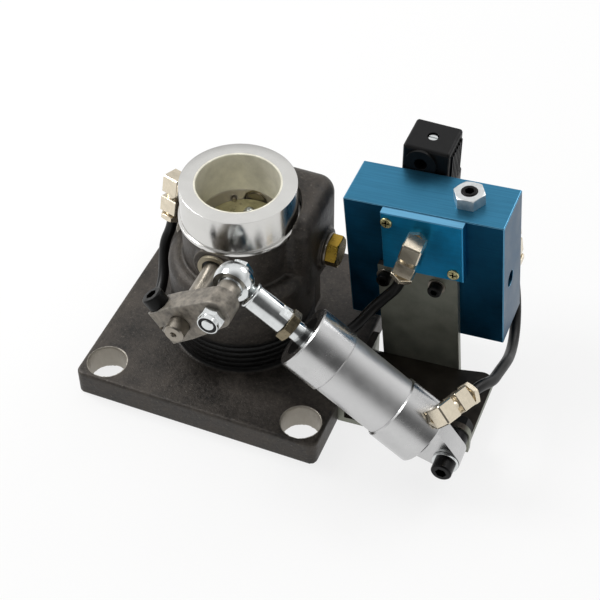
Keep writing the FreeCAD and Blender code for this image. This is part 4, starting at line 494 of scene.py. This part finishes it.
def sand_cast_iron():
    """Sand-cast grey iron with a dark oily skin: dull and cloudy, pebbled by the sand, lighter on its sharp
    edges, with bright machined holes and painted shade on the rings of its foot."""
    colours = bpy.context.scene.valve_colours
    material, tree, shader = new_material("sand_cast_iron")
    place = local_place(tree, "throat")[1]
    clouds = add_node(tree, NOISE, None, {"Vector": place, "Scale": 1 / (CLOUD_SIZE * MM), "Detail": 5.0,
                                          "Roughness": 0.65})
    mottle = add_node(tree, NOISE, None, {"Vector": place, "Scale": 1 / (MOTTLE_SIZE * MM), "Detail": 4.0,
                                          "Roughness": 0.7})
    grains = add_node(tree, NOISE, None, {"Vector": place, "Scale": 1 / (GRAIN_SIZE * MM), "Detail": 2.0})
    cloudy = add_node(tree, MATH, {"operation": "MULTIPLY"}, {0: clouds, 1: 0.6})
    mottled = add_node(tree, MATH, {"operation": "MULTIPLY"}, {0: mottle, 1: 0.4})
    tone = add_node(tree, MATH, {"operation": "ADD"}, {0: cloudy, 1: mottled})
    parts, radius = ring_distance(tree, place)
    foot = shaded_foot(tree, parts.outputs["Z"], radius)
    machined = machined_holes(tree, parts, radius)
    skin = cast_skin(tree, place, tone, mottle)
    # Painted shade on the rings of the foot
    black = two_shades(tree, mottle, colours.foot_shade, 0.4)
    skin = add_node(tree, MIX, COLOURS, {"Factor": foot, FIRST: skin, SECOND: black}).outputs[MIXED]
    bright = two_shades(tree, clouds, colours.machined_iron, 0.8)
    colour = add_node(tree, MIX, COLOURS, {"Factor": machined, FIRST: skin, SECOND: bright}).outputs[MIXED]
    sheen = add_node(tree, RANGE, None, {"Value": tone, "From Min": NOISE_LOW, "From Max": NOISE_HIGH,
                                         "To Min": 0.36, "To Max": 0.6})
    bared = add_node(tree, MATH, {"operation": "MULTIPLY"}, {0: machined, 1: 0.25})
    metallic = add_node(tree, MATH, {"operation": "ADD"}, {0: 0.4, 1: bared})
    unmachined = add_node(tree, MATH, {"operation": "SUBTRACT"}, {0: 1.0, 1: machined})
    pebbles = add_node(tree, MATH, {"operation": "MULTIPLY"}, {0: grains, 1: unmachined})
    bump = add_node(tree, BUMP, None, {"Height": pebbles, "Strength": 1.0, "Distance": GRAIN_DEPTH * MM})
    bump = add_node(tree, BUMP, None, {"Height": mottle, "Strength": 1.0, "Distance": MOTTLE_DEPTH * MM,
                                       "Normal": bump})
    feed(tree, shader, {"Base Color": colour, "Roughness": sheen, "Metallic": metallic, "Normal": bump})
    return material


# Carried-over solids get rounded edges and smooth curved faces. The block and the bracket get wider rounds.
SHARP_ANGLE = math.radians(35)
FLAT_ANGLE = math.radians(0.4)
WELD_DISTANCE = 0.002 * MM
BLOCK_EDGE = 0.45 * MM
BRACKET_EDGE = 0.5 * MM

# Castings are blended on a grid of voxels, and keep this share of their faces
BODY_SHARE = 0.36
LEVER_VOXEL = 0.4 * MM
LEVER_SHARE = 0.5


def smoothing_group():
    """A node group that shades faces smooth and keeps edges above the sharp angle."""
    if "smooth_by_angle" in bpy.data.node_groups:
        return bpy.data.node_groups["smooth_by_angle"]
    tree = bpy.data.node_groups.new("smooth_by_angle", "GeometryNodeTree")
    tree.interface.new_socket("Geometry", in_out="INPUT", socket_type="NodeSocketGeometry")
    tree.interface.new_socket("Geometry", in_out="OUTPUT", socket_type="NodeSocketGeometry")
    start = add_node(tree, "NodeGroupInput")
    angle = add_node(tree, "GeometryNodeInputMeshEdgeAngle")
    sharp = add_node(tree, "FunctionNodeCompare", {"operation": "GREATER_THAN"},
                     {0: angle.outputs["Unsigned Angle"], 1: SHARP_ANGLE})
    normals = add_node(tree, "GeometryNodeSetMeshNormal", {"mode": "SHARPNESS"},
                       {"Mesh": start, "Remove Custom": True, "Edge Sharpness": sharp})
    add_node(tree, "NodeGroupOutput", None, {0: normals})
    return tree


def smooth_by_angle(piece):
    """Shades a piece smooth but for its sharp edges."""
    group = piece.modifiers.new("smooth", "NODES")
    group.node_group = smoothing_group()


def weld(solid):
    """Joins the faces of an exported solid at their shared edges."""
    joined = solid.modifiers.new("weld", "WELD")
    joined.merge_threshold = WELD_DISTANCE


def paint(name, material):
    """Gives a carried-over solid its material."""
    solid = frame["nodes"][name]
    solid.data.materials.clear()
    solid.data.materials.append(material)
    return solid


def round_edges(solid, width, lighter_edges):
    """Rounds a solid's sharp edges, and gives the rounds their own material where one is given, such as a
    painted highlight.
    """
    flat = solid.modifiers.new("flat", "DECIMATE")
    flat.decimate_type = "DISSOLVE"
    flat.angle_limit = FLAT_ANGLE
    bevel = solid.modifiers.new("edges", "BEVEL")
    bevel.width = width
    bevel.segments = 2
    bevel.limit_method = "ANGLE"
    bevel.angle_limit = SHARP_ANGLE
    bevel.use_clamp_overlap = True
    # The rounds' own material: on the blue block and plate this is a painted highlight
    if lighter_edges:
        solid.data.materials.append(lighter_edges)
        bevel.material = 1
    smooth_by_angle(solid)
    even = solid.modifiers.new("flat_faces", "WEIGHTED_NORMAL")
    even.keep_sharp = True


def dress(names, finish_name, axis="throat", edge=None, lighter_edges=None):
    """Gives carried-over solids a finish, smooth curved faces and rounded edges. An edge of nought leaves
    them sharp, and the last argument names a finish for the rounds, such as a painted highlight."""
    for name in names:
        solid = paint(name, finish(finish_name, axis))
        weld(solid)
        smooth_by_angle(solid)
        width = bpy.context.scene.valve_sizes.edge_round if edge is None else edge
        if width:
            round_edges(solid, width, lighter_edges and finish(lighter_edges, axis))


def blend_casting(solid, voxel, share):
    """Softens a casting's corners as a sand mould does, and keeps a share of the mesh's faces."""
    weld(solid)
    remesh = solid.modifiers.new("skin", "REMESH")
    remesh.mode = "VOXEL"
    remesh.voxel_size = voxel
    remesh.use_smooth_shade = True
    soften = solid.modifiers.new("soften", "SMOOTH")
    soften.factor = 0.5
    soften.iterations = 3
    thin = solid.modifiers.new("thin", "DECIMATE")
    thin.ratio = share


# Turned pieces: each profile is a closed loop of places along the axis and radii, in millimetres
TURNING_STEPS = 144
COLLAR_PROFILE = (
    (106.8, 25.0), (134.2, 25.0), (134.5, 25.3), (134.5, 34.6), (134.38, 34.88), (134.1, 35.0), (112.2, 35.0),
    (111.95, 35.1), (111.9, 35.3), (111.9, 36.1), (111.8, 36.4), (111.5, 36.5), (109.7, 36.5), (109.4, 36.2),
    (109.4, 28.0), (106.8, 28.0))
SHANK_PROFILE = (
    (9.7, 0.6), (9.7, 4.3), (10.4, 4.9), (11.0, 5.7), (11.3, 6.6), (11.5, 7.9), (11.7, 8.4), (12.0, 8.6),
    (12.9, 8.6), (13.2, 8.4), (13.4, 8.05), (13.8, 7.95), (14.1, 8.0), (30.4, 8.0), (30.4, 8.0), (36.9, 8.0),
    (37.4, 7.4), (37.4, 5.05), (18.0, 5.05), (18.0, 0.6))
# The shank's two flats begin at this point of its profile, and lie this far from its axis
FLATS_FIRST = 14
FLATS_HALF = 7.0
EYE_RADIUS = 12.0
EYE_HALF = 5.2
EYE_MOUTH_RADIUS = 7.7
EYE_SEAT_RADIUS = 8.12
EYE_SEAT_HALF = 4.3
# The lock nut's nylon stands a little proud of the nut's mouth
NYLON_INSIDE = 4.05
NYLON_OUTSIDE = 4.95
NYLON_RIM = 5.5
NYLON_PROUD = 0.1
NYLON_DEEP = 1.0


def ball_arc(radius, half):
    """Points of a ball's outline from one side of its middle to the other."""
    sides = [half * k / 8 for k in range(-8, 9)]
    return [(side, math.sqrt(radius ** 2 - side ** 2)) for side in sides]


def eye_profile():
    """The rod end's eye: ball-shaped outside, flat faces, and a seat that follows its ball."""
    seat = ball_arc(EYE_SEAT_RADIUS, EYE_SEAT_HALF)[::-1]
    return [*ball_arc(EYE_RADIUS, EYE_HALF), (EYE_HALF, EYE_MOUTH_RADIUS), *seat,
            (-EYE_HALF, EYE_MOUTH_RADIUS)]


def turn_profile(points, faces, profile, origin, axis, side, flats=False):
    """Adds a closed profile turned about an axis, with the shank's two flats where they are asked for."""
    across = axis.cross(side)
    count = len(profile)
    first = len(points)
    for step in range(TURNING_STEPS):
        angle = 2 * math.pi * step / TURNING_STEPS
        for k, (along, radius) in enumerate(profile):
            up, over = radius * math.cos(angle), radius * math.sin(angle)
            if flats and k >= FLATS_FIRST:
                up = max(-FLATS_HALF, min(FLATS_HALF, up))
            points.append(origin + (axis * along + side * up + across * over) * MM)
        this, after = first + step * count, first + (step + 1) % TURNING_STEPS * count
        for k in range(count):
            following = (k + 1) % count
            faces.append((this + k, after + k, after + following, this + following))


def new_piece(name, points, faces, material, body, replaced=()):
    """A piece of the scene's own, on a body, in place of the solids that it replaces."""
    mesh = bpy.data.meshes.new(name)
    mesh.from_pydata([tuple(point) for point in points], [], faces)
    mesh.materials.append(material)
    piece = bpy.data.objects.new(name, mesh)
    bpy.context.scene.collection.objects.link(piece)
    smooth_by_angle(piece)
    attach(piece, body)
    if replaced:
        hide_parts(*replaced)


def turned_collar():
    """The inlet collar with its lip and spigot."""
    points, faces = [], []
    turn_profile(points, faces, COLLAR_PROFILE, Vector((0, 0, 0)), UP, RIGHT)
    new_piece("turned_collar", points, faces, finish("turned_aluminium", "throat"), "valve",
              ("inlet_collar",))


def forged_rod_end():
    """The eye, and its collar and round shank with two flats at its end."""
    points, faces = [], []
    turn_profile(points, faces, eye_profile(), BALL, FORWARD, RIGHT)
    turn_profile(points, faces, SHANK_PROFILE, BALL, ALONG, ALONG.cross(FORWARD).normalized(), True)
    new_piece("forged_rod_end", points, faces, finish("bright_zinc", "cylinder"), "rod",
              ("rod_end",))


def nylon_ring():
    """The black nylon ring in the mouth of the lever's lock nut."""
    nut = frame["nodes"]["nyloc_nut"]
    mouth = max(-(nut.matrix_world @ Vector(corner)).y for corner in nut.bound_box) / MM
    front, back = mouth + NYLON_PROUD, mouth - NYLON_DEEP
    profile = [(back, NYLON_OUTSIDE), (mouth, NYLON_OUTSIDE), (mouth, NYLON_RIM), (front, NYLON_RIM),
               (front, NYLON_INSIDE), (back, NYLON_INSIDE)]
    points, faces = [], []
    turn_profile(points, faces, profile, Vector((BALL.x, 0, BALL.z)), FORWARD, RIGHT)
    new_piece("nyloc_ring", points, faces, finish("moulded_nylon", "pivot"), "shaft")


# Hoses: the points that their solids follow, in metres
SIGNAL_HOSE = (
    (0.10049, 0.007, 0.08688), (0.09859, 0.007, 0.07819), (0.0921, 0.0041, 0.0697), (0.0857, -0.0018, 0.0628),
    (0.081, -0.0102, 0.0571), (0.07572, -0.01966, 0.05473), (0.07201, -0.02487, 0.05501))
FEED_HOSE = (
    (0.16001, -0.0348, 0.05489), (0.16278, -0.02769, 0.05387), (0.1671, -0.0169, 0.0476),
    (0.1676, -0.0045, 0.0425), (0.1687, 0.0082, 0.0383), (0.1681, 0.0197, 0.0317), (0.1668, 0.0323, 0.0273),
    (0.1645, 0.0454, 0.0275), (0.1612, 0.0572, 0.0326), (0.1577, 0.0639, 0.0435), (0.1545, 0.0655, 0.0563),
    (0.15307, 0.0655, 0.06462))
BREATHER_HOSE = (
    (-0.04994, 0.00817, 0.08151), (-0.05029, 0.00692, 0.07565), (-0.0532, 0.0009, 0.0666),
    (-0.0512, -0.0054, 0.0574), (-0.048, -0.014, 0.0507), (-0.0461, -0.0241, 0.0468),
    (-0.04436, -0.03464, 0.046), (-0.03518, -0.03931, 0.046))


def hose(name, points):
    """A smooth tube along the points, from one nut's face to the other; its length is in metres."""
    curve = bpy.data.curves.new(name, "CURVE")
    curve.dimensions = "3D"
    spline = curve.splines.new("NURBS")
    spline.points.add(len(points) - 1)
    for point, place in zip(spline.points, points):
        point.co = (*place, 1)
    spline.order_u = 3
    spline.use_endpoint_u = True
    spline.resolution_u = 12
    diameter = bpy.context.scene.valve_sizes.hose_diameter
    curve.bevel_depth = diameter / 2
    curve.bevel_resolution = 8
    piece = bpy.data.objects.new(name, curve)
    bpy.context.scene.collection.objects.link(piece)
    piece.data.materials.append(finish("extruded_rubber"))
    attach(piece, "valve")
    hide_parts(name.removesuffix("_tube"))


# Stage
def build_floor():
    """A wide sheet of white paper: a camera or a gloss sees it mostly as plain white, with a soft shadow."""
    mesh = bpy.data.meshes.new("studio_floor")
    half = FLOOR_HALF
    mesh.from_pydata([(-half, -half, 0), (half, -half, 0), (half, half, 0), (-half, half, 0)], [],
                     [(0, 1, 2, 3)])
    floor = bpy.data.objects.new("studio_floor", mesh)
    bpy.context.scene.collection.objects.link(floor)
    paper, tree, shader = new_material("matt_white_paper")
    feed(tree, shader, {"Base Color": (*bpy.context.scene.valve_colours.floor, 1), "Roughness": 0.9,
                        "Specular IOR Level": 0.1})
    white = add_node(tree, "ShaderNodeEmission", None, {"Strength": 1.0})
    rays = add_node(tree, "ShaderNodeLightPath")
    seen = rays.outputs["Is Camera Ray"]
    for name in ("Is Glossy Ray", "Is Transmission Ray"):
        seen = add_node(tree, MATH, {"operation": "MAXIMUM"}, {0: seen, 1: rays.outputs[name]})
    share = add_node(tree, MATH, {"operation": "MULTIPLY"}, {0: seen, 1: WHITE_SHARE})
    surface = add_node(tree, "ShaderNodeMixShader", None, {0: share, 1: shader, 2: white})
    feed(tree, tree.nodes["Material Output"], {"Surface": surface})
    mesh.materials.append(paper)


def build_world():
    """A soft studio: bright above and behind, unlit in front, pale at the horizon."""
    world = bpy.data.worlds.new("studio")
    bpy.context.scene.world = world
    world.use_nodes = True
    tree = world.node_tree
    coords = add_node(tree, "ShaderNodeTexCoord")
    height = add_node(tree, SEPARATE, None, {"Vector": coords.outputs["Generated"]}).outputs["Z"]
    nearness = add_node(tree, VECTOR_MATH, {"operation": "DOT_PRODUCT"},
                        {0: coords.outputs["Generated"], 1: UNLIT_SIDE}).outputs["Value"]
    level, unlit, horizon = [
        add_node(tree, RAMP, {"stops": [(place, (grey, grey, grey, 1)) for place, grey in levels]},
                 {"Fac": source})
        for source, levels in ((height, HEIGHT_LEVELS), (nearness, UNLIT_LEVELS), (height, HORIZON_LEVELS))]
    dimmed = add_node(tree, MIX, COLOURS,
                      {"Factor": horizon, FIRST: unlit, SECOND: (1, 1, 1, 1)}).outputs[MIXED]
    light = add_node(tree, MIX, {**COLOURS, "blend_type": "MULTIPLY"},
                     {"Factor": 1.0, FIRST: level, SECOND: dimmed}).outputs[MIXED]
    feed(tree, tree.nodes["Background"], {"Strength": WORLD_STRENGTH, "Color": light})


def hang_lamp(name, kind, place, aim, power):
    """Hangs a lamp that points from its place at its aim."""
    lamp = bpy.data.lights.new(name, kind)
    lamp.energy = power
    holder = bpy.data.objects.new(name, lamp)
    holder.location = place
    holder.rotation_euler = (Vector(aim) - Vector(place)).to_track_quat("-Z", "Y").to_euler()
    bpy.context.scene.collection.objects.link(holder)
    return lamp


def build_lamps():
    """A key light from the left, a weak light from behind, and a narrow beam down the collar that shows its
    bore and the disc."""
    key = hang_lamp("key_softbox", "AREA", (-0.85, 0.05, 0.95), LAMPS_AIM, 9.0)
    rim = hang_lamp("rim_softbox", "AREA", (0.55, 0.95, 0.8), LAMPS_AIM, 2.5)
    key.size = rim.size = SOFTBOX_SIZE
    beam = hang_lamp("throat_spot", "SPOT", (0.05, -0.45, 0.92), THROAT_AIM, 22.0)
    beam.spot_size = math.radians(5.0)
    beam.spot_blend = 0.6
    beam.shadow_soft_size = 0.03


def build_camera():
    """The photograph's camera."""
    cos_y, sin_y = math.cos(CAMERA_YAW), math.sin(CAMERA_YAW)
    cos_p, sin_p = math.cos(CAMERA_PITCH), math.sin(CAMERA_PITCH)
    cos_r, sin_r = math.cos(CAMERA_ROLL), math.sin(CAMERA_ROLL)
    ahead = Vector((-sin_y * cos_p, cos_y * cos_p, sin_p))
    level = Vector((cos_y, sin_y, 0))
    upright = level.cross(ahead)
    right = level * cos_r + upright * sin_r
    up = upright * cos_r - level * sin_r
    lens = bpy.data.cameras.new("photo_camera")
    lens.sensor_width = SENSOR_MM
    lens.lens = CAMERA_FOCAL_PIXELS / PICTURE_PIXELS * SENSOR_MM
    lens.shift_x = CAMERA_SHIFT
    camera = bpy.data.objects.new("photo_camera", lens)
    camera.matrix_world = Matrix((
        (right.x, up.x, -ahead.x, CAMERA_PLACE[0]),
        (right.y, up.y, -ahead.y, CAMERA_PLACE[1]),
        (right.z, up.z, -ahead.z, CAMERA_PLACE[2]),
        (0, 0, 0, 1)))
    bpy.context.scene.collection.objects.link(camera)
    bpy.context.scene.camera = camera


# Operators
class VALVE_OT_casting(bpy.types.Operator):
    """Give the iron casting its sand-cast skin"""

    bl_idname = "valve.casting"
    bl_label = "Casting"

    def execute(self, context):
        body = paint("valve_body", sand_cast_iron())
        blend_casting(body, context.scene.valve_sizes.cast_voxel, BODY_SHARE)
        dress(["brass_plug"], "machined_brass")
        dress(["plug_washer"], "ground_steel")
        return {"FINISHED"}


class VALVE_OT_collar(bpy.types.Operator):
    """Turn the inlet collar and finish its seal"""

    bl_idname = "valve.collar"
    bl_label = "Inlet collar"

    def execute(self, context):
        turned_collar()
        dress(["collar_seal"], "extruded_rubber", edge=0)
        return {"FINISHED"}


class VALVE_OT_shaft(bpy.types.Operator):
    """Finish the shaft, its bushes, the butterfly disc and their small parts"""

    bl_idname = "valve.shaft"
    bl_label = "Shaft and disc"

    def execute(self, context):
        dress(["butterfly_shaft", "disc_stop_pin", "thrust_washer"], "ground_steel", "shaft")
        dress(["butterfly_disc"], "oiled_sheet_steel", "throat")
        dress(["front_shaft_bush", "rear_shaft_bush"], "sintered_bronze", "shaft")
        dress(["disc_screws", "shaft_end_cap"], "bright_zinc")
        dress(["shaft_circlip"], "black_oxide")
        dress(["shaft_seal"], "extruded_rubber", edge=0)
        return {"FINISHED"}


class VALVE_OT_lever(bpy.types.Operator):
    """Finish the lever, its clamp screw, and the pivot bolt with its nut"""

    bl_idname = "valve.lever"
    bl_label = "Lever"

    def execute(self, context):
        lever = paint("lever", finish("fettled_grey_iron", "shaft"))
        blend_casting(lever, LEVER_VOXEL, LEVER_SHARE)
        dress(["lever_clamp_screw"], "black_oxide")
        dress(["pivot_bolt", "nyloc_nut"], "bright_zinc")
        nylon_ring()
        dress(["pivot_spacer"], "ground_steel", "pivot")
        return {"FINISHED"}


class VALVE_OT_cylinder(bpy.types.Operator):
    """Finish the air cylinder and its rod, and forge the rod end"""

    bl_idname = "valve.cylinder"
    bl_label = "Air cylinder"

    def execute(self, context):
        dress(["cylinder_front_cap", "cylinder_rear_cap"], "satin_aluminium", "cylinder", 0)
        dress(["cylinder_tube", "piston"], "drawn_tube", "cylinder", 0)
        dress(["piston_rod"], "bright_zinc", "cylinder", 0)
        forged_rod_end()
        dress(["rod_end_ball"], "bright_zinc", "pivot", 0)
        dress(["jam_nut"], "stained_yellow_zinc")
        dress(["rod_gland"], "sintered_bronze", "cylinder")
        dress(["rod_wiper", "piston_seal"], "extruded_rubber", edge=0)
        return {"FINISHED"}


class VALVE_OT_tail_bolt(bpy.types.Operator):
    """Finish the screw, washers, spacer and nut at the cylinder's tail"""

    bl_idname = "valve.tail_bolt"
    bl_label = "Tail bolt"

    def execute(self, context):
        dress(["tail_screw", "tail_spacer", "tail_nut"], "black_oxide")
        dress(["tail_washer"], "bright_zinc")
        return {"FINISHED"}


class VALVE_OT_block(bpy.types.Operator):
    """Finish the control block with its plate, screws and adjuster"""

    bl_idname = "valve.block"
    bl_label = "Control block"

    def execute(self, context):
        # The rounds of the block and plate get a painted highlight
        dress(["valve_block"], "blue_anodised", "block", BLOCK_EDGE, "rubbed_blue")
        dress(["front_plate"], "blue_anodised_plate", "block", BLOCK_EDGE, "rubbed_blue")
        dress(["plate_screws"], "yellow_zinc", edge=0)
        dress(["block_screw_washers"], "ground_steel", "block")
        dress(["block_screws", "bracket_screws", "adjuster_screw"], "black_oxide")
        dress(["lock_nut"], "dull_zinc")
        return {"FINISHED"}


class VALVE_OT_bracket(bpy.types.Operator):
    """Finish the bent bracket"""

    bl_idname = "valve.bracket"
    bl_label = "Bracket"

    def execute(self, context):
        dress(["bracket"], "plated_sheet_steel", "block", BRACKET_EDGE)
        return {"FINISHED"}


class VALVE_OT_solenoid(bpy.types.Operator):
    """Finish the pilot solenoid and its plug connector"""

    bl_idname = "valve.solenoid"
    bl_label = "Pilot solenoid"

    def execute(self, context):
        dress(["solenoid_coil", "plug_connector"], "moulded_nylon")
        dress(["connector_gasket"], "extruded_rubber", edge=0)
        dress(["solenoid_stem", "solenoid_nut", "connector_screw"], "bright_zinc")
        return {"FINISHED"}


class VALVE_OT_fittings(bpy.types.Operator):
    """Finish the elbows, the nipple and the hose nuts"""

    bl_idname = "valve.fittings"
    bl_label = "Hose fittings"

    def execute(self, context):
        dress(["fixed_elbows", "cylinder_elbows", "foot_nipple", "fixed_hose_nuts", "cylinder_hose_nuts"],
              "nickel_plate")
        return {"FINISHED"}


class VALVE_OT_hoses(bpy.types.Operator):
    """Lay the three rubber hoses"""

    bl_idname = "valve.hoses"
    bl_label = "Hoses"

    def execute(self, context):
        hose("signal_hose_tube", SIGNAL_HOSE)
        hose("feed_hose_tube", FEED_HOSE)
        hose("breather_hose_tube", BREATHER_HOSE)
        return {"FINISHED"}


class VALVE_OT_stage(bpy.types.Operator):
    """Set the floor, the camera and the studio light"""

    bl_idname = "valve.stage"
    bl_label = "Stage"

    def execute(self, context):
        build_floor()
        build_world()
        build_lamps()
        build_camera()
        context.scene.view_settings.view_transform = "Standard"
        return {"FINISHED"}


OPERATORS = (
    VALVE_OT_casting, VALVE_OT_collar, VALVE_OT_shaft, VALVE_OT_lever, VALVE_OT_cylinder, VALVE_OT_tail_bolt,
    VALVE_OT_block, VALVE_OT_bracket, VALVE_OT_solenoid, VALVE_OT_fittings, VALVE_OT_hoses, VALVE_OT_stage)


class VALVE_PT_panel(bpy.types.Panel):
    """Lists the valve's colours, sizes and operators"""

    bl_idname = "VALVE_PT_panel"
    bl_label = "Intake valve"
    bl_space_type = "VIEW_3D"
    bl_region_type = "UI"
    bl_category = "Intake valve"

    def draw(self, context):
        for group in (context.scene.valve_sizes, context.scene.valve_colours):
            for name in group.__annotations__:
                self.layout.prop(group, name)
        for operator in OPERATORS:
            self.layout.operator(operator.bl_idname)


CLASSES = (ValveColours, ValveSizes, *OPERATORS, VALVE_PT_panel)


def register():
    for each in CLASSES:
        bpy.utils.register_class(each)
    bpy.types.Scene.valve_colours = bpy.props.PointerProperty(type=ValveColours)
    bpy.types.Scene.valve_sizes = bpy.props.PointerProperty(type=ValveSizes)


def unregister():
    del bpy.types.Scene.valve_sizes
    del bpy.types.Scene.valve_colours
    for each in reversed(CLASSES):
        bpy.utils.unregister_class(each)


def main():
    register()
    for operator in OPERATORS:
        getattr(bpy.ops.valve, operator.bl_idname.split(".")[1])()


if __name__ == "__main__":
    main()
